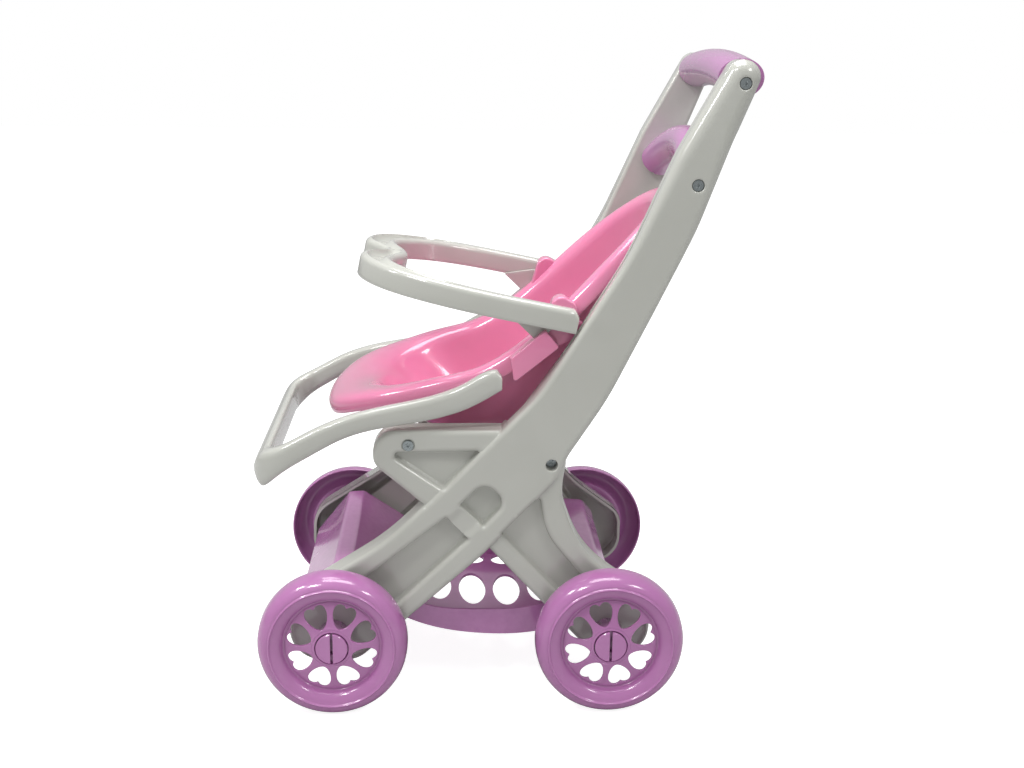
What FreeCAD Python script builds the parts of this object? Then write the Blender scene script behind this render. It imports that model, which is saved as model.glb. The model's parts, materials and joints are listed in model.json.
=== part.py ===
"""Doll stroller: two plastic side frames, a bucket seat, four wheels and the bars between them.

Millimetres. +X is the stroller's left, -Y its front, +Z up. Side outlines are drawn as (y, z)
corners measured from the floor point midway between the axles, and every sub-part is then
placed so that the whole object's footprint is centred on the origin.
"""
import FreeCAD
import Part
import Sketcher
import math
import os

from FreeCAD import Placement, Rotation, Vector

PARTS_FOLDER = "parts"
os.makedirs(PARTS_FOLDER, exist_ok=True)
doc = FreeCAD.newDocument("DollStroller")

# ---------------------------------------------------------------- driving dimensions

DIMENSIONS = {
    "centre_shift": -26.7,      # y of the wheelbase midpoint in the object's own frame
    "wheelbase": 231.8,
    "wheel_radius": 62.5,
    "wheel_centre_x": 140.0,
    "wheel_half_width": 11.5,
    "axle_radius": 7.0,
    "axle_clearance": 0.08,
    "axle_head_radius": 13.2,
    "frame_outer_x": 120.0,
    "second_member_x": 117.0,
    "panel_x": 109.0,
    "band_x": 115.8,
    "frame_inner_x": 96.0,
    "seam_x": 104.0,
    "cover_inner_x": 94.0,
    "wall": 2.5,
    "edge_round": 6.0,
    "screw_head_radius": 4.4,
    "screw_shank_radius": 1.9,
    "channel_end_x": 95.6,      # half length of the two crossmembers
    "end_plate": 3.5,
    "hearts_per_wheel": 8,
    "heart_cut_depth": 20.0,
    "pin_slot_depth": 9.0,
}

sheet = doc.addObject("Spreadsheet::Sheet", "Dimensions")
for row, (alias, value) in enumerate(DIMENSIONS.items(), start=1):
    sheet.set(f"A{row}", alias)
    sheet.set(f"B{row}", str(value))
    sheet.setAlias(f"B{row}", alias)
doc.recompute()


def dim(alias):
    """The sheet's value of one driving dimension."""
    return float(sheet.get(alias))


def bind(feature, prop, formula):
    """Bind one property to the sheet, with each alias in the formula written in braces."""
    for alias in sorted(DIMENSIONS, key=len, reverse=True):
        formula = formula.replace("{" + alias + "}", f"Dimensions.{alias}")
    feature.setExpression(prop, formula)


WALL = dim("wall")
FRAME_OUT = dim("frame_outer_x")
FRAME_IN = dim("frame_inner_x")
SEAM = dim("seam_x")
COVER_IN = dim("cover_inner_x")
AXLE_Z = dim("wheel_radius")
AXLE_Y = {"front": -dim("wheelbase") / 2, "rear": dim("wheelbase") / 2}
SIDES = {"left": 1, "right": -1}
SHIFT = Placement(Vector(0, dim("centre_shift"), 0), Rotation())
SIDE_TURN = Rotation(Vector(1, 1, 1), 120)     # drawing x, y become the object's y, z

finished = {}


def finish(obj, name):
    """Give a sub-part its label and its place in the object's frame."""
    obj.Label = name
    obj.Placement = SHIFT.multiply(obj.Placement)
    finished[name] = obj
    return obj


def feature(name, shape):
    """A sub-part whose shape comes from Part's own functions."""
    obj = doc.addObject("Part::Feature", name)
    obj.Shape = shape
    return finish(obj, name)


# ---------------------------------------------------------------- outline helpers

def rounded_curves(corners):
    """Straight runs joined by tangent arcs; each corner is (u, v, radius)."""
    count = len(corners)
    starts, ends, arcs = [], [], []
    for index in range(count):
        here = Vector(corners[index][0], corners[index][1], 0)
        before = Vector(*corners[index - 1][:2], 0)
        after = Vector(*corners[(index + 1) % count][:2], 0)
        to_before = (before - here).normalize()
        to_after = (after - here).normalize()
        half = to_before.getAngle(to_after) / 2
        reach = corners[index][2] / math.tan(half)
        start = here + to_before * reach
        end = here + to_after * reach
        bisector = (to_before + to_after).normalize()
        centre = here + bisector * (corners[index][2] / math.sin(half))
        middle = centre - bisector * corners[index][2]
        starts.append(start)
        ends.append(end)
        arcs.append(Part.Arc(start, middle, end))
    curves = []
    for index in range(count):
        curves.append(arcs[index])
        curves.append(Part.LineSegment(ends[index], starts[(index + 1) % count]))
    return curves


def rounded_wire(corners):
    return Part.Wire([curve.toShape() for curve in rounded_curves(corners)])


def side_face(wire, x):
    """A face in the side plane at x from a wire drawn in (y, z)."""
    placed = wire.copy()
    placed.Placement = Placement(Vector(x, 0, 0), SIDE_TURN)
    return Part.Face(placed)


def side_slab(wire, x_from, x_to):
    """The wire's outline extruded across the stroller."""
    return side_face(wire, x_from).extrude(Vector(x_to - x_from, 0, 0))


def across(radius, y, z, x_from, x_to):
    """A cylinder along X."""
    return Part.makeCylinder(radius, x_to - x_from, Vector(x_from, y, z), Vector(1, 0, 0))


def mirrored(source, name):
    """The other side's copy of a sub-part, kept in step with the original."""
    obj = doc.addObject("Part::Mirroring", name)
    obj.Source = source
    obj.Base = Vector(0, 0, 0)
    obj.Normal = Vector(1, 0, 0)
    obj.Label = name
    finished[name] = obj


# ---------------------------------------------------------------- side frame outlines (y, z, radius)

MAIN_MEMBER = [
    (228.5, 538.8, 13.5), (202.0, 473.4, 200), (177.8, 407.5, 300), (146.2, 341.1, 300),
    (110.6, 267.7, 300), (79.5, 219.5, 30), (70.5, 198.5, 40), (12.0, 134.5, 250),
    (-96.5, 37.0, 25), (-155.0, 37.0, 28), (-155.0, 101.5, 34), (-76.3, 149.0, 200),
    (-23.5, 191.5, 200), (53.0, 270.5, 120), (124.0, 384.0, 300), (160.0, 466.0, 150),
    (200.0, 539.0, 13),
]
SECOND_MEMBER = [
    (57.0, 241.0, 3), (79.5, 219.5, 20), (73.5, 185.0, 60), (92.0, 134.0, 90),
    (152.5, 88.7, 22), (152.5, 37.0, 28), (106.8, 37.0, 25), (14.8, 136.7, 3),
    (-42.5, 178.0, 100), (-81.5, 211.5, 14), (-82.0, 241.0, 20),
]
LUG_RECESS = [(-70.0, 221.5, 3), (7.0, 222.8, 1.5), (-24.0, 189.8, 1.5)]
SLOT_RECESS = [(-9.5, 177.0, 1), (10.5, 197.0, 11), (29.0, 179.0, 11), (9.7, 158.0, 1)]
LEG_RECESS = [(-21.5, 165.8, 1), (-3.5, 146.7, 1), (-80.0, 72.0, 6), (-104.0, 100.5, 6)]
REAR_RECESS = [(56.5, 184.5, 3), (62.5, 150.0, 60), (103.0, 99.0, 5), (86.0, 84.5, 5), (24.6, 150.8, 2)]
BAND = [(-9.5, 177.0, 0.5), (9.7, 158.0, 0.5), (-3.5, 146.7, 0.5), (-21.5, 165.8, 0.5)]
COVER = [
    (228.5, 538.8, 13.5), (202.0, 473.4, 200), (177.8, 407.5, 300), (146.2, 341.1, 300),
    (110.6, 267.7, 300), (79.5, 219.5, 20), (70.0, 196.0, 10), (50.0, 204.0, 10),
    (31.5, 241.5, 12), (80.0, 311.0, 300), (124.5, 384.0, 300), (160.0, 466.0, 150),
    (200.0, 539.0, 13),
]
NOTCH = [(77.0, 310.0, 2), (91.0, 339.0, 2), (103.0, 333.5, 2), (90.0, 304.5, 2)]

HANDLE_SCREW = (209.4, 521.0)
CROSSBAR_SCREW = (176.2, 442.4)
LUG_SCREW = (-52.5, 228.5)
JOINT_SCREW = (65.7, 211.9)
CROSSMEMBER_SCREWS = [(-92.0, 92.0), (97.8, 97.7)]

SCREW_HEAD_SEAT = 118.2
JOINT_SCREW_SEAT = 107.0
HEAD_RECESS_RADIUS = 5.0
HEAD_THICKNESS = 2.4
CROSSMEMBER_SCREW_TIP = 105.0
BOSS_RADIUS = 6.0
FOOT_BOSS_RADIUS = 11.0
FOOT_BOSS_OUT_X = 120.6


def inset(face, distance):
    """The outline of a face moved inwards by the distance (outwards when it is negative)."""
    return face.makeOffset2D(-distance, 0, False, False, False)


def shell_edges(shape, x):
    """The edges that lie wholly in the side plane at x."""
    return [edge for edge in shape.Edges
            if abs(edge.BoundBox.XMin - x) < 1e-4 and abs(edge.BoundBox.XMax - x) < 1e-4]


def frame_shell():
    """One side's moulding, open towards the middle: arm and front leg over lug and rear leg."""
    main = side_slab(rounded_wire(MAIN_MEMBER), FRAME_IN, FRAME_OUT)
    main = main.makeFillet(dim("edge_round"), shell_edges(main, FRAME_OUT))
    second = side_slab(rounded_wire(SECOND_MEMBER), FRAME_IN, dim("second_member_x"))
    second = second.makeFillet(dim("edge_round") - 1.5, shell_edges(second, dim("second_member_x")))
    recess_wires = [rounded_wire(c) for c in (LUG_RECESS, SLOT_RECESS, LEG_RECESS, REAR_RECESS)]
    solid = main.fuse(second)
    for wire in recess_wires:
        solid = solid.cut(side_slab(wire, dim("panel_x"), FRAME_OUT + 1))
    solid = solid.cut(side_slab(rounded_wire(BAND), dim("band_x"), FRAME_OUT + 1))

    outline = side_face(rounded_wire(MAIN_MEMBER), FRAME_IN - 1).fuse(
        side_face(rounded_wire(SECOND_MEMBER), FRAME_IN - 1)).removeSplitter().Faces[0]
    inner = inset(outline, WALL)
    panel_back = dim("panel_x") - WALL
    shallow = inner.extrude(Vector(panel_back - FRAME_IN + 1, 0, 0))
    deep = inner.extrude(Vector(dim("second_member_x") - WALL - FRAME_IN + 1, 0, 0))
    for wire in recess_wires:
        islands = inset(side_face(wire, panel_back), -WALL)
        deep = deep.cut(islands.extrude(Vector(30, 0, 0)))
    solid = solid.cut(shallow).cut(deep)

    bosses = [
        across(BOSS_RADIUS, *HANDLE_SCREW, SEAM, 116),
        across(BOSS_RADIUS, *CROSSBAR_SCREW, SEAM, 116),
        across(BOSS_RADIUS, *LUG_SCREW, FRAME_IN, 116),
        across(BOSS_RADIUS + 2, *JOINT_SCREW, SEAM, 116),
    ]
    for end in AXLE_Y:
        bosses.append(across(FOOT_BOSS_RADIUS, AXLE_Y[end], AXLE_Z, FRAME_IN, FOOT_BOSS_OUT_X))
    for place in CROSSMEMBER_SCREWS:
        bosses.append(across(BOSS_RADIUS, *place, FRAME_IN, dim("panel_x") - 1))
    solid = solid.multiFuse(bosses)
    arm_zone = inset(side_face(rounded_wire(COVER), FRAME_IN - 4), -6.0)
    solid = solid.cut(arm_zone.extrude(Vector(SEAM - FRAME_IN + 4, 0, 0)))

    shank = dim("screw_shank_radius")
    for place in (HANDLE_SCREW, CROSSBAR_SCREW, LUG_SCREW):
        solid = solid.cut(across(HEAD_RECESS_RADIUS, *place, SCREW_HEAD_SEAT - HEAD_THICKNESS, 125))
        solid = solid.cut(across(shank, *place, 90, 120))
    solid = solid.cut(across(HEAD_RECESS_RADIUS, *JOINT_SCREW, JOINT_SCREW_SEAT, 125))
    solid = solid.cut(across(shank, *JOINT_SCREW, 90, 120))
    for end in AXLE_Y:
        solid = solid.cut(across(dim("axle_radius"), AXLE_Y[end], AXLE_Z, 90, 125))
    for place in CROSSMEMBER_SCREWS:
        solid = solid.cut(across(shank, *place, 90, CROSSMEMBER_SCREW_TIP))
    return solid.removeSplitter()


def arm_cover():
    """The arm's inner half, a tray that closes the shell from the head down to the joint screw."""
    solid = side_slab(rounded_wire(COVER), COVER_IN, SEAM)
    solid = solid.makeFillet(3.0, shell_edges(solid, COVER_IN))
    cavity = inset(side_face(rounded_wire(COVER), COVER_IN + WALL), WALL)
    solid = solid.cut(cavity.extrude(Vector(SEAM, 0, 0)))
    for place in (HANDLE_SCREW, CROSSBAR_SCREW, JOINT_SCREW):
        solid = solid.fuse(across(BOSS_RADIUS, *place, COVER_IN + 1, SEAM))
        solid = solid.cut(across(dim("screw_shank_radius"), *place, 90, 110))
    return solid.cut(side_slab(rounded_wire(NOTCH), COVER_IN - 1, SEAM + 1)).removeSplitter()


mirrored(feature("left_frame_shell", frame_shell()), "right_frame_shell")
mirrored(feature("left_arm_cover", arm_cover()), "right_arm_cover")


# ---------------------------------------------------------------- wheels and axle pins

RIM_ARC_CENTRE = 51.0
RIM_WALL = 2.4
TREAD_FALL = 2.4
DISC_FRONT = 1.5
DISC_BACK = -0.9
HUB_RADIUS = 16.0
HUB_INNER_END = -18.9
HUB_RECESS_RADIUS = 13.9
HUB_FRONT = 8.4
HUB_BACK = 5.4
HUB_RECESS_FLOOR = 4.5
PIN_HEAD_TOP = 9.8
PIN_HEAD_BACK = 4.7
PIN_INNER_END = -42.0
PIN_SLOT_WIDTH = 2.3


def origin_plane(body, role):
    return next(item for item in body.Origin.OriginFeatures if item.Role == role)


def new_sketch(body, name, role, curves, offset=0.0):
    """A sketch on one of the body's own origin planes, moved along its normal."""
    sketch = body.newObject("Sketcher::SketchObject", name)
    sketch.AttachmentSupport = [(origin_plane(body, role), "")]
    sketch.MapMode = "FlatFace"
    sketch.AttachmentOffset = Placement(Vector(0, 0, offset), Rotation())
    for curve in curves:
        sketch.addGeometry(curve, False)
    return sketch


def polyline(points):
    """Line segments through (u, v) points, closed."""
    corners = [Vector(u, v, 0) for u, v in points]
    return [Part.LineSegment(a, b) for a, b in zip(corners, corners[1:] + corners[:1])]


def arc_through(first, middle, last):
    return Part.Arc(Vector(*first, 0), Vector(*middle, 0), Vector(*last, 0))


def line_between(first, last):
    return Part.LineSegment(Vector(*first, 0), Vector(*last, 0))


def wheel_profile():
    """Half section of a wheel, x along the axle from the wheel's middle plane, then radius."""
    top = dim("wheel_radius")
    half = dim("wheel_half_width")
    centre = RIM_ARC_CENTRE
    bore = dim("axle_radius") + dim("axle_clearance")
    inner = half - RIM_WALL
    path = [
        (half, centre), (3.6, 41.4), (DISC_FRONT, 40.2), (HUB_FRONT, HUB_RECESS_RADIUS),
        (HUB_RECESS_FLOOR, HUB_RECESS_RADIUS), (HUB_RECESS_FLOOR, bore), (HUB_INNER_END, bore),
        (HUB_INNER_END, HUB_RADIUS - 3), (HUB_BACK, HUB_RADIUS), (DISC_BACK, 41.6),
        (inner, centre),
    ]
    edge = top - TREAD_FALL
    shoulder = (7.6, top - 3.0)
    shoulder_inside = (5.6, top - RIM_WALL - 2.2)
    curves = [line_between(a, b) for a, b in zip(path, path[1:])]
    curves.append(arc_through((inner, centre), shoulder_inside, (0, top - RIM_WALL)))
    curves.append(line_between((0, top - RIM_WALL), (-half, edge - RIM_WALL)))
    curves.append(line_between((-half, edge - RIM_WALL), (-half, edge)))
    curves.append(line_between((-half, edge), (0, top)))
    curves.append(arc_through((0, top), shoulder, (half, centre)))
    return curves


def heart_curves():
    """One heart with its point towards the hub, drawn in (y, z)."""
    tip, point, flank, side = (0, 17.9), (3.0, 19.4), (7.4, 24.6), (9.2, 30.6)
    lobe, notch = (5.2, 37.4), (0, 35.0)
    right = [(point, flank, side), (side, lobe, notch)]
    left = [tuple((-y, z) for y, z in reversed(arc)) for arc in reversed(right)]
    return [arc_through(*arc) for arc in right + left + [((-point[0], point[1]), tip, point)]]


def revolve(body, curves):
    sketch = new_sketch(body, body.Name + "Section", "XY_Plane", curves)
    turned = body.newObject("PartDesign::Revolution", body.Name + "Revolution")
    turned.Profile = sketch
    turned.ReferenceAxis = (sketch, ["H_Axis"])
    turned.Angle = 360
    return turned


def place_on_axle(body, end, side, turn):
    """Put a wheel or pin on its axle's outer end, its face outwards, bound to the sheet."""
    face_out = Rotation(Vector(0, 0, 1), 0 if side == "left" else 180)
    body.Placement = Placement(Vector(), Rotation(Vector(1, 0, 0), turn).multiply(face_out))
    finish(body, body.Name)
    bind(body, ".Placement.Base.x", "{wheel_centre_x}" if side == "left" else "-{wheel_centre_x}")
    half_base = "+ {wheelbase} / 2" if end == "rear" else "- {wheelbase} / 2"
    bind(body, ".Placement.Base.y", "{centre_shift} " + half_base)
    bind(body, ".Placement.Base.z", "{wheel_radius}")


def wheel(name, end, side, turn):
    """One wheel, its hearts turned by an angle so that no two wheels line up."""
    body = doc.addObject("PartDesign::Body", name)
    revolve(body, wheel_profile())
    sketch = new_sketch(body, name + "Heart", "YZ_Plane", heart_curves(), -10.0)
    hole = body.newObject("PartDesign::Pocket", name + "HeartHole")
    hole.Profile = sketch
    bind(hole, "Length", "{heart_cut_depth}")
    hole.Reversed = True
    doc.recompute()
    ring = body.newObject("PartDesign::PolarPattern", name + "HeartRing")
    ring.Originals = [hole]
    ring.Axis = (sketch, ["N_Axis"])
    ring.Angle = 360
    bind(ring, "Occurrences", "{hearts_per_wheel}")
    body.Tip = ring
    doc.recompute()
    place_on_axle(body, end, side, turn)


def axle_pin(name, end, side):
    """A stub axle with a slotted head, pushed through the wheel into the frame's foot."""
    radius = dim("axle_radius")
    head = dim("axle_head_radius")
    body = doc.addObject("PartDesign::Body", name)
    revolve(body, polyline([
        (PIN_HEAD_TOP, 0), (PIN_HEAD_TOP, head - 0.6), (PIN_HEAD_TOP - 0.6, head),
        (PIN_HEAD_BACK, head), (PIN_HEAD_BACK, radius), (PIN_INNER_END, radius), (PIN_INNER_END, 0),
    ]))
    half = PIN_SLOT_WIDTH / 2
    slot_sketch = new_sketch(body, name + "Slot", "YZ_Plane", polyline(
        [(-half, -20), (half, -20), (half, 20), (-half, 20)]), PIN_HEAD_TOP)
    slot = body.newObject("PartDesign::Pocket", name + "SlotCut")
    slot.Profile = slot_sketch
    bind(slot, "Length", "{pin_slot_depth}")
    doc.recompute()
    place_on_axle(body, end, side, 0)


HEART_TURNS = {"front_left": 22.5, "front_right": 9.0, "rear_left": 16.0, "rear_right": 30.0}
for side in SIDES:
    for end in AXLE_Y:
        wheel(f"{end}_{side}_wheel", end, side, HEART_TURNS[f"{end}_{side}"])
        axle_pin(f"{end}_{side}_axle_pin", end, side)


# ---------------------------------------------------------------- handle and crossbar halves

BAR_END_X = 94.0
BAR_CAVITY_END_X = 88.0
ARM_UP = Vector(0, 0.42, 0.9075)      # the arms' direction near their heads
BAR_FORWARD = Vector(0, -0.9075, 0.42)
SCREW_DEPTH_X = 80.0


def arched_pipe(centre, rise, half_up, half_through, end_x):
    """An oval bar along X, arched along the arms, cut square at plus and minus end_x."""
    start = Vector(-end_x, *centre)
    finish_point = Vector(end_x, *centre)
    crown = Vector(0, *centre) + ARM_UP * rise
    if rise:
        path = Part.Wire(Part.Arc(start, crown, finish_point).toShape())
    else:
        path = Part.Wire(Part.LineSegment(start, finish_point).toShape())
    tangent = path.Edges[0].tangentAt(path.Edges[0].FirstParameter)
    ellipse = Part.Ellipse(Vector(0, 0, 0), max(half_up, half_through), min(half_up, half_through))
    major = BAR_FORWARD if half_through > half_up else ARM_UP
    if half_through <= half_up:
        major = tangent.cross(BAR_FORWARD)
    section = Part.Wire(ellipse.toShape())
    section.Placement = Placement(start, Rotation(major, tangent.cross(major), tangent, "ZXY"))
    return path.makePipeShell([section], True, True)


def bar_halves(front_name, rear_name, centre, screw, rise, half_up, half_through):
    """The two mouldings of one bar, parted along the plane of the arms, with hollow insides."""
    outer = arched_pipe(centre, rise, half_up, half_through, BAR_END_X + 6)
    hollow = arched_pipe(centre, rise, half_up - WALL, half_through - WALL, BAR_END_X + 6)
    inside = Part.makeBox(2 * BAR_CAVITY_END_X, 400, 400,
                          Vector(-BAR_CAVITY_END_X, centre[0] - 200, centre[1] - 200))
    bar = outer.cut(hollow.common(inside))
    trim = Part.makeBox(2 * BAR_END_X, 400, 400,
                        Vector(-BAR_END_X, centre[0] - 200, centre[1] - 200))
    bar = bar.common(trim)
    for sign in SIDES.values():
        boss = across(BOSS_RADIUS, *screw, *sorted((sign * SCREW_DEPTH_X, sign * 90)))
        hole = across(dim("screw_shank_radius"), *screw,
                      *sorted((sign * SCREW_DEPTH_X, sign * (BAR_END_X + 1))))
        bar = bar.fuse(boss).cut(hole)
    slab = Part.makeBox(300, 300, 150, Vector(-150, -150, 0))
    for name, normal in ((front_name, BAR_FORWARD), (rear_name, BAR_FORWARD * -1)):
        half_space = slab.copy()
        half_space.Placement = Placement(Vector(0, *centre), Rotation(Vector(0, 0, 1), normal))
        feature(name, bar.common(half_space))


HANDLE_CENTRE = (210.5, 521.0)
bar_halves("handle_front_half", "handle_rear_half", HANDLE_CENTRE, HANDLE_SCREW, 5.0, 14.5, 20.0)
bar_halves("crossbar_front_half", "crossbar_rear_half", CROSSBAR_SCREW, CROSSBAR_SCREW, 31.0, 16.0, 16.5)


# ---------------------------------------------------------------- seat

SEAT_TILT = 33.0                       # the rim's mean slope, degrees
RIM_TOP = [(-127, 239), (-104, 252), (-63, 267), (4, 292), (55, 332), (108, 377), (142, 405), (171, 431)]
RIM_SKIRT = 14.0
RIM_SHEET = 3.0
RIM_PLAN = [(0, 24), (48, 32), (82, 62), (99, 108), (101, 170), (98, 235), (86, 300), (56, 352), (0, 377)]
MOUTH_PLAN = [(0, 61), (34, 67), (56, 87), (69, 120), (72, 170), (69, 235), (57, 295), (34, 334), (0, 350)]
TUB_SIDE = [(-122, 262, 6), (-100, 222, 22), (38, 222, 50), (140, 335, 90), (186, 412, 12),
            (172, 440, 6), (100, 385, 60), (10, 308, 60)]
TUB_WALL = 3.0
BRACKET = [(31.0, 300.0, 2), (34.0, 280.0, 2), (70.5, 309.5, 2), (59.0, 324.0, 2)]
BRACKET_OUT_X = 111.0
SEAT_SIDE_X = 100.8
PIVOT = (70.0, 331.5)
PIVOT_BOSS_RADIUS = 11.0
TRUNNION_RADIUS = 5.0
HOOK = [(66.0, 309.0, 2), (81.0, 333.0, 2), (93.0, 327.0, 2), (82.5, 312.0, 2)]
HOOK_OUT_X = 100.8
SLOT_RADIUS = 38.5
SLOT_OUT_X = 104.0
FOOTREST_PEG = (8.0, 279.0)
FOOTREST_PEG_RADIUS = 4.0

TILT_TURN = Rotation(Vector(1, 0, 0), SEAT_TILT)


def shifted_points(points, distance):
    """The points of a line moved to the right of its run; those on the middle plane stay on it."""
    moved = []
    for index, (u, v) in enumerate(points):
        before = points[max(index - 1, 0)]
        after = points[min(index + 1, len(points) - 1)]
        run, rise = after[0] - before[0], after[1] - before[1]
        if u == 0:
            rise = 0
        length = math.hypot(run, rise)
        moved.append((u + distance * rise / length, v - distance * run / length))
    return moved


def mirrored_pair(points, first_direction, last_direction):
    """Edges of a smooth line through its right half's points, and of its mirror image."""
    edges = []
    for sign in SIDES.values():
        curve = Part.BSplineCurve()
        curve.interpolate(Points=[Vector(sign * u, v, 0) for u, v in points],
                          InitialTangent=Vector(sign * first_direction[0], first_direction[1], 0),
                          FinalTangent=Vector(sign * last_direction[0], last_direction[1], 0))
        edges.append(curve.toShape())
    return edges


def plan_prism(points, growth=0.0):
    """The plan outline, grown sideways, as a tall prism square to the rim's mean slope."""
    edges = mirrored_pair(shifted_points(points, growth), (1, 0), (-1, 0))
    face = Part.Face(Part.Wire(Part.__sortEdges__(edges)))
    prism = face.extrude(Vector(0, 0, 700))
    prism.Placement = Placement(TILT_TURN.multVec(Vector(0, 0, -300)), TILT_TURN)
    return prism


def rim_layer(top_drop, bottom_drop):
    """The side-view strip between two depths under the rim's top line, as a wide slab."""
    def lowered(drop):
        top = Part.BSplineCurve()
        top.interpolate([Vector(y, z, 0) for y, z in RIM_TOP])
        points = []
        for step in range(len(RIM_TOP)):
            at = top.parameter(Vector(*RIM_TOP[step], 0))
            along = Vector(*top.tangent(at)[0]).normalize()
            points.append(Vector(*RIM_TOP[step], 0) + Vector(along.y, -along.x, 0) * drop)
        curve = Part.BSplineCurve()
        curve.interpolate(points)
        return curve
    upper = lowered(top_drop)
    lower = lowered(bottom_drop)
    ends = [(upper.StartPoint, lower.StartPoint), (upper.EndPoint, lower.EndPoint)]
    edges = [upper.toShape(), lower.toShape()]
    edges += [Part.LineSegment(a, b).toShape() for a, b in ends]
    wire = Part.Wire(Part.__sortEdges__(edges))
    return side_slab(wire, -130, 130)


def seat():
    rim_prism = plan_prism(RIM_PLAN)
    mouth_prism = plan_prism(MOUTH_PLAN)
    rim = rim_layer(0, RIM_SKIRT).common(rim_prism)
    rim = rim.cut(rim_layer(RIM_SHEET, RIM_SKIRT + 5).common(plan_prism(RIM_PLAN, -RIM_SHEET)))
    side_outer = side_slab(rounded_wire(TUB_SIDE), -130, 130)
    side_inner_face = inset(side_face(rounded_wire(TUB_SIDE), -130), TUB_WALL)
    side_inner = side_inner_face.extrude(Vector(260, 0, 0))
    tub = side_outer.common(plan_prism(MOUTH_PLAN, TUB_WALL))
    tub = tub.cut(rim_layer(-60, RIM_SHEET / 2))
    solid = rim.fuse(tub)
    hollow = side_inner.fuse(rim_layer(-60, RIM_SKIRT)).common(mouth_prism)
    solid = solid.cut(hollow)
    return solid


seat_solid = seat()
for sign in SIDES.values():
    def outboard(radius, place, x_from, x_to):
        return across(radius, *place, *sorted((sign * x_from, sign * x_to)))
    bracket = side_slab(rounded_wire(BRACKET), sign * 88, sign * BRACKET_OUT_X)
    hook = side_slab(rounded_wire(HOOK), sign * 84, sign * HOOK_OUT_X)
    boss = outboard(PIVOT_BOSS_RADIUS, PIVOT, 84, SEAT_SIDE_X)
    seat_solid = seat_solid.multiFuse([bracket, hook, boss])
    bore = outboard(TRUNNION_RADIUS + 0.05, PIVOT, 86, 120)
    peg_hole = outboard(FOOTREST_PEG_RADIUS, FOOTREST_PEG, 92, 120)
    slot = outboard(SLOT_RADIUS, PIVOT, SEAT_SIDE_X, SLOT_OUT_X)
    seat_solid = seat_solid.cut(bore).cut(peg_hole).cut(slot)
feature("seat_shell", seat_solid.removeSplitter().Solids[0])


# ---------------------------------------------------------------- bumper bar and footrest

BUMPER_OUTER = [(116, 84), (116, 20), (107, -38), (84, -80), (52, -98), (24, -95), (0, -83)]
BUMPER_INNER = [(0, -60), (22, -66), (46, -72), (70, -60), (92, -28), (102, 22), (102, 84)]
BUMPER_HEIGHT = 19.0
LOOP_SKIN = 3.0                        # top skin of the hollow bumper and footrest
BUMPER_TILT = -11.3                    # the loop climbs towards the front
BUMPER_END_Y = 83.2
BUMPER_BASE = (BUMPER_END_Y, 322.0)    # lower edge of the loop at its rear ends
GUSSET = [(33.0, 332.0, 1), (55.0, 311.0, 1.5), (66.0, 326.0, 1), (64.0, 336.0, 1)]
FOOTREST_SIDE = [
    (18.0, 292.0, 5), (27.0, 277.0, 2), (-8.0, 258.5, 70), (-58.0, 247.8, 60), (-104.0, 238.2, 60),
    (-136.0, 221.0, 80), (-171.5, 195.5, 3), (-178.0, 208.0, 8), (-174.0, 220.5, 8),
    (-160.0, 230.0, 30), (-126.0, 247.0, 60), (-102.0, 256.0, 60), (-49.0, 267.0, 60),
    (-4.0, 281.5, 60),
]
FOOTREST_OUT_X = 118.0
FOOTREST_RAIL = 13.0
FOOTREST_BAR_DEPTH = 15.0
FOOTREST_CORNER = 20.0


def bumper_band(shrink):
    """The loop's outline in its own plane, its edge lines moved inwards by shrink."""
    outer = shifted_points(BUMPER_OUTER, shrink)
    inner = shifted_points(BUMPER_INNER, shrink)
    edges = mirrored_pair(outer, (0, -1), (-1, 0)) + mirrored_pair(inner, (1, 0), (0, 1))
    for sign in SIDES.values():
        ends = [(sign * outer[0][0], outer[0][1]), (sign * inner[-1][0], inner[-1][1])]
        edges.append(line_between(*ends).toShape())
    return Part.Face(Part.Wire(Part.__sortEdges__(edges)))


def bumper():
    """The heart-shaped guard loop, with a tab and a trunnion inside each rear end."""
    end_v = BUMPER_OUTER[0][1]
    turn = Rotation(Vector(1, 0, 0), BUMPER_TILT)
    place = Placement(Vector(0, *BUMPER_BASE) - turn.multVec(Vector(0, end_v, 0)), turn)
    solid = bumper_band(0).extrude(Vector(0, 0, BUMPER_HEIGHT))
    solid = solid.common(side_slab(rounded_wire([
        (-220, -5, 1), (end_v, -5, 1), (end_v, BUMPER_HEIGHT, 6), (-220, BUMPER_HEIGHT, 1),
    ]), -130, 130))
    hollow = bumper_band(LOOP_SKIN).extrude(Vector(0, 0, BUMPER_HEIGHT - LOOP_SKIN))
    solid = solid.cut(hollow.common(Part.makeBox(400, 240, 40, Vector(-200, -180, -5))))
    solid.Placement = place
    for sign in SIDES.values():
        gusset = side_slab(rounded_wire(GUSSET), *sorted((sign * 101.2, sign * 103.5)))
        trunnion = across(TRUNNION_RADIUS, *PIVOT, *sorted((sign * 92, sign * 104)))
        solid = solid.fuse(gusset).fuse(trunnion)
    return solid.removeSplitter()


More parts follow.
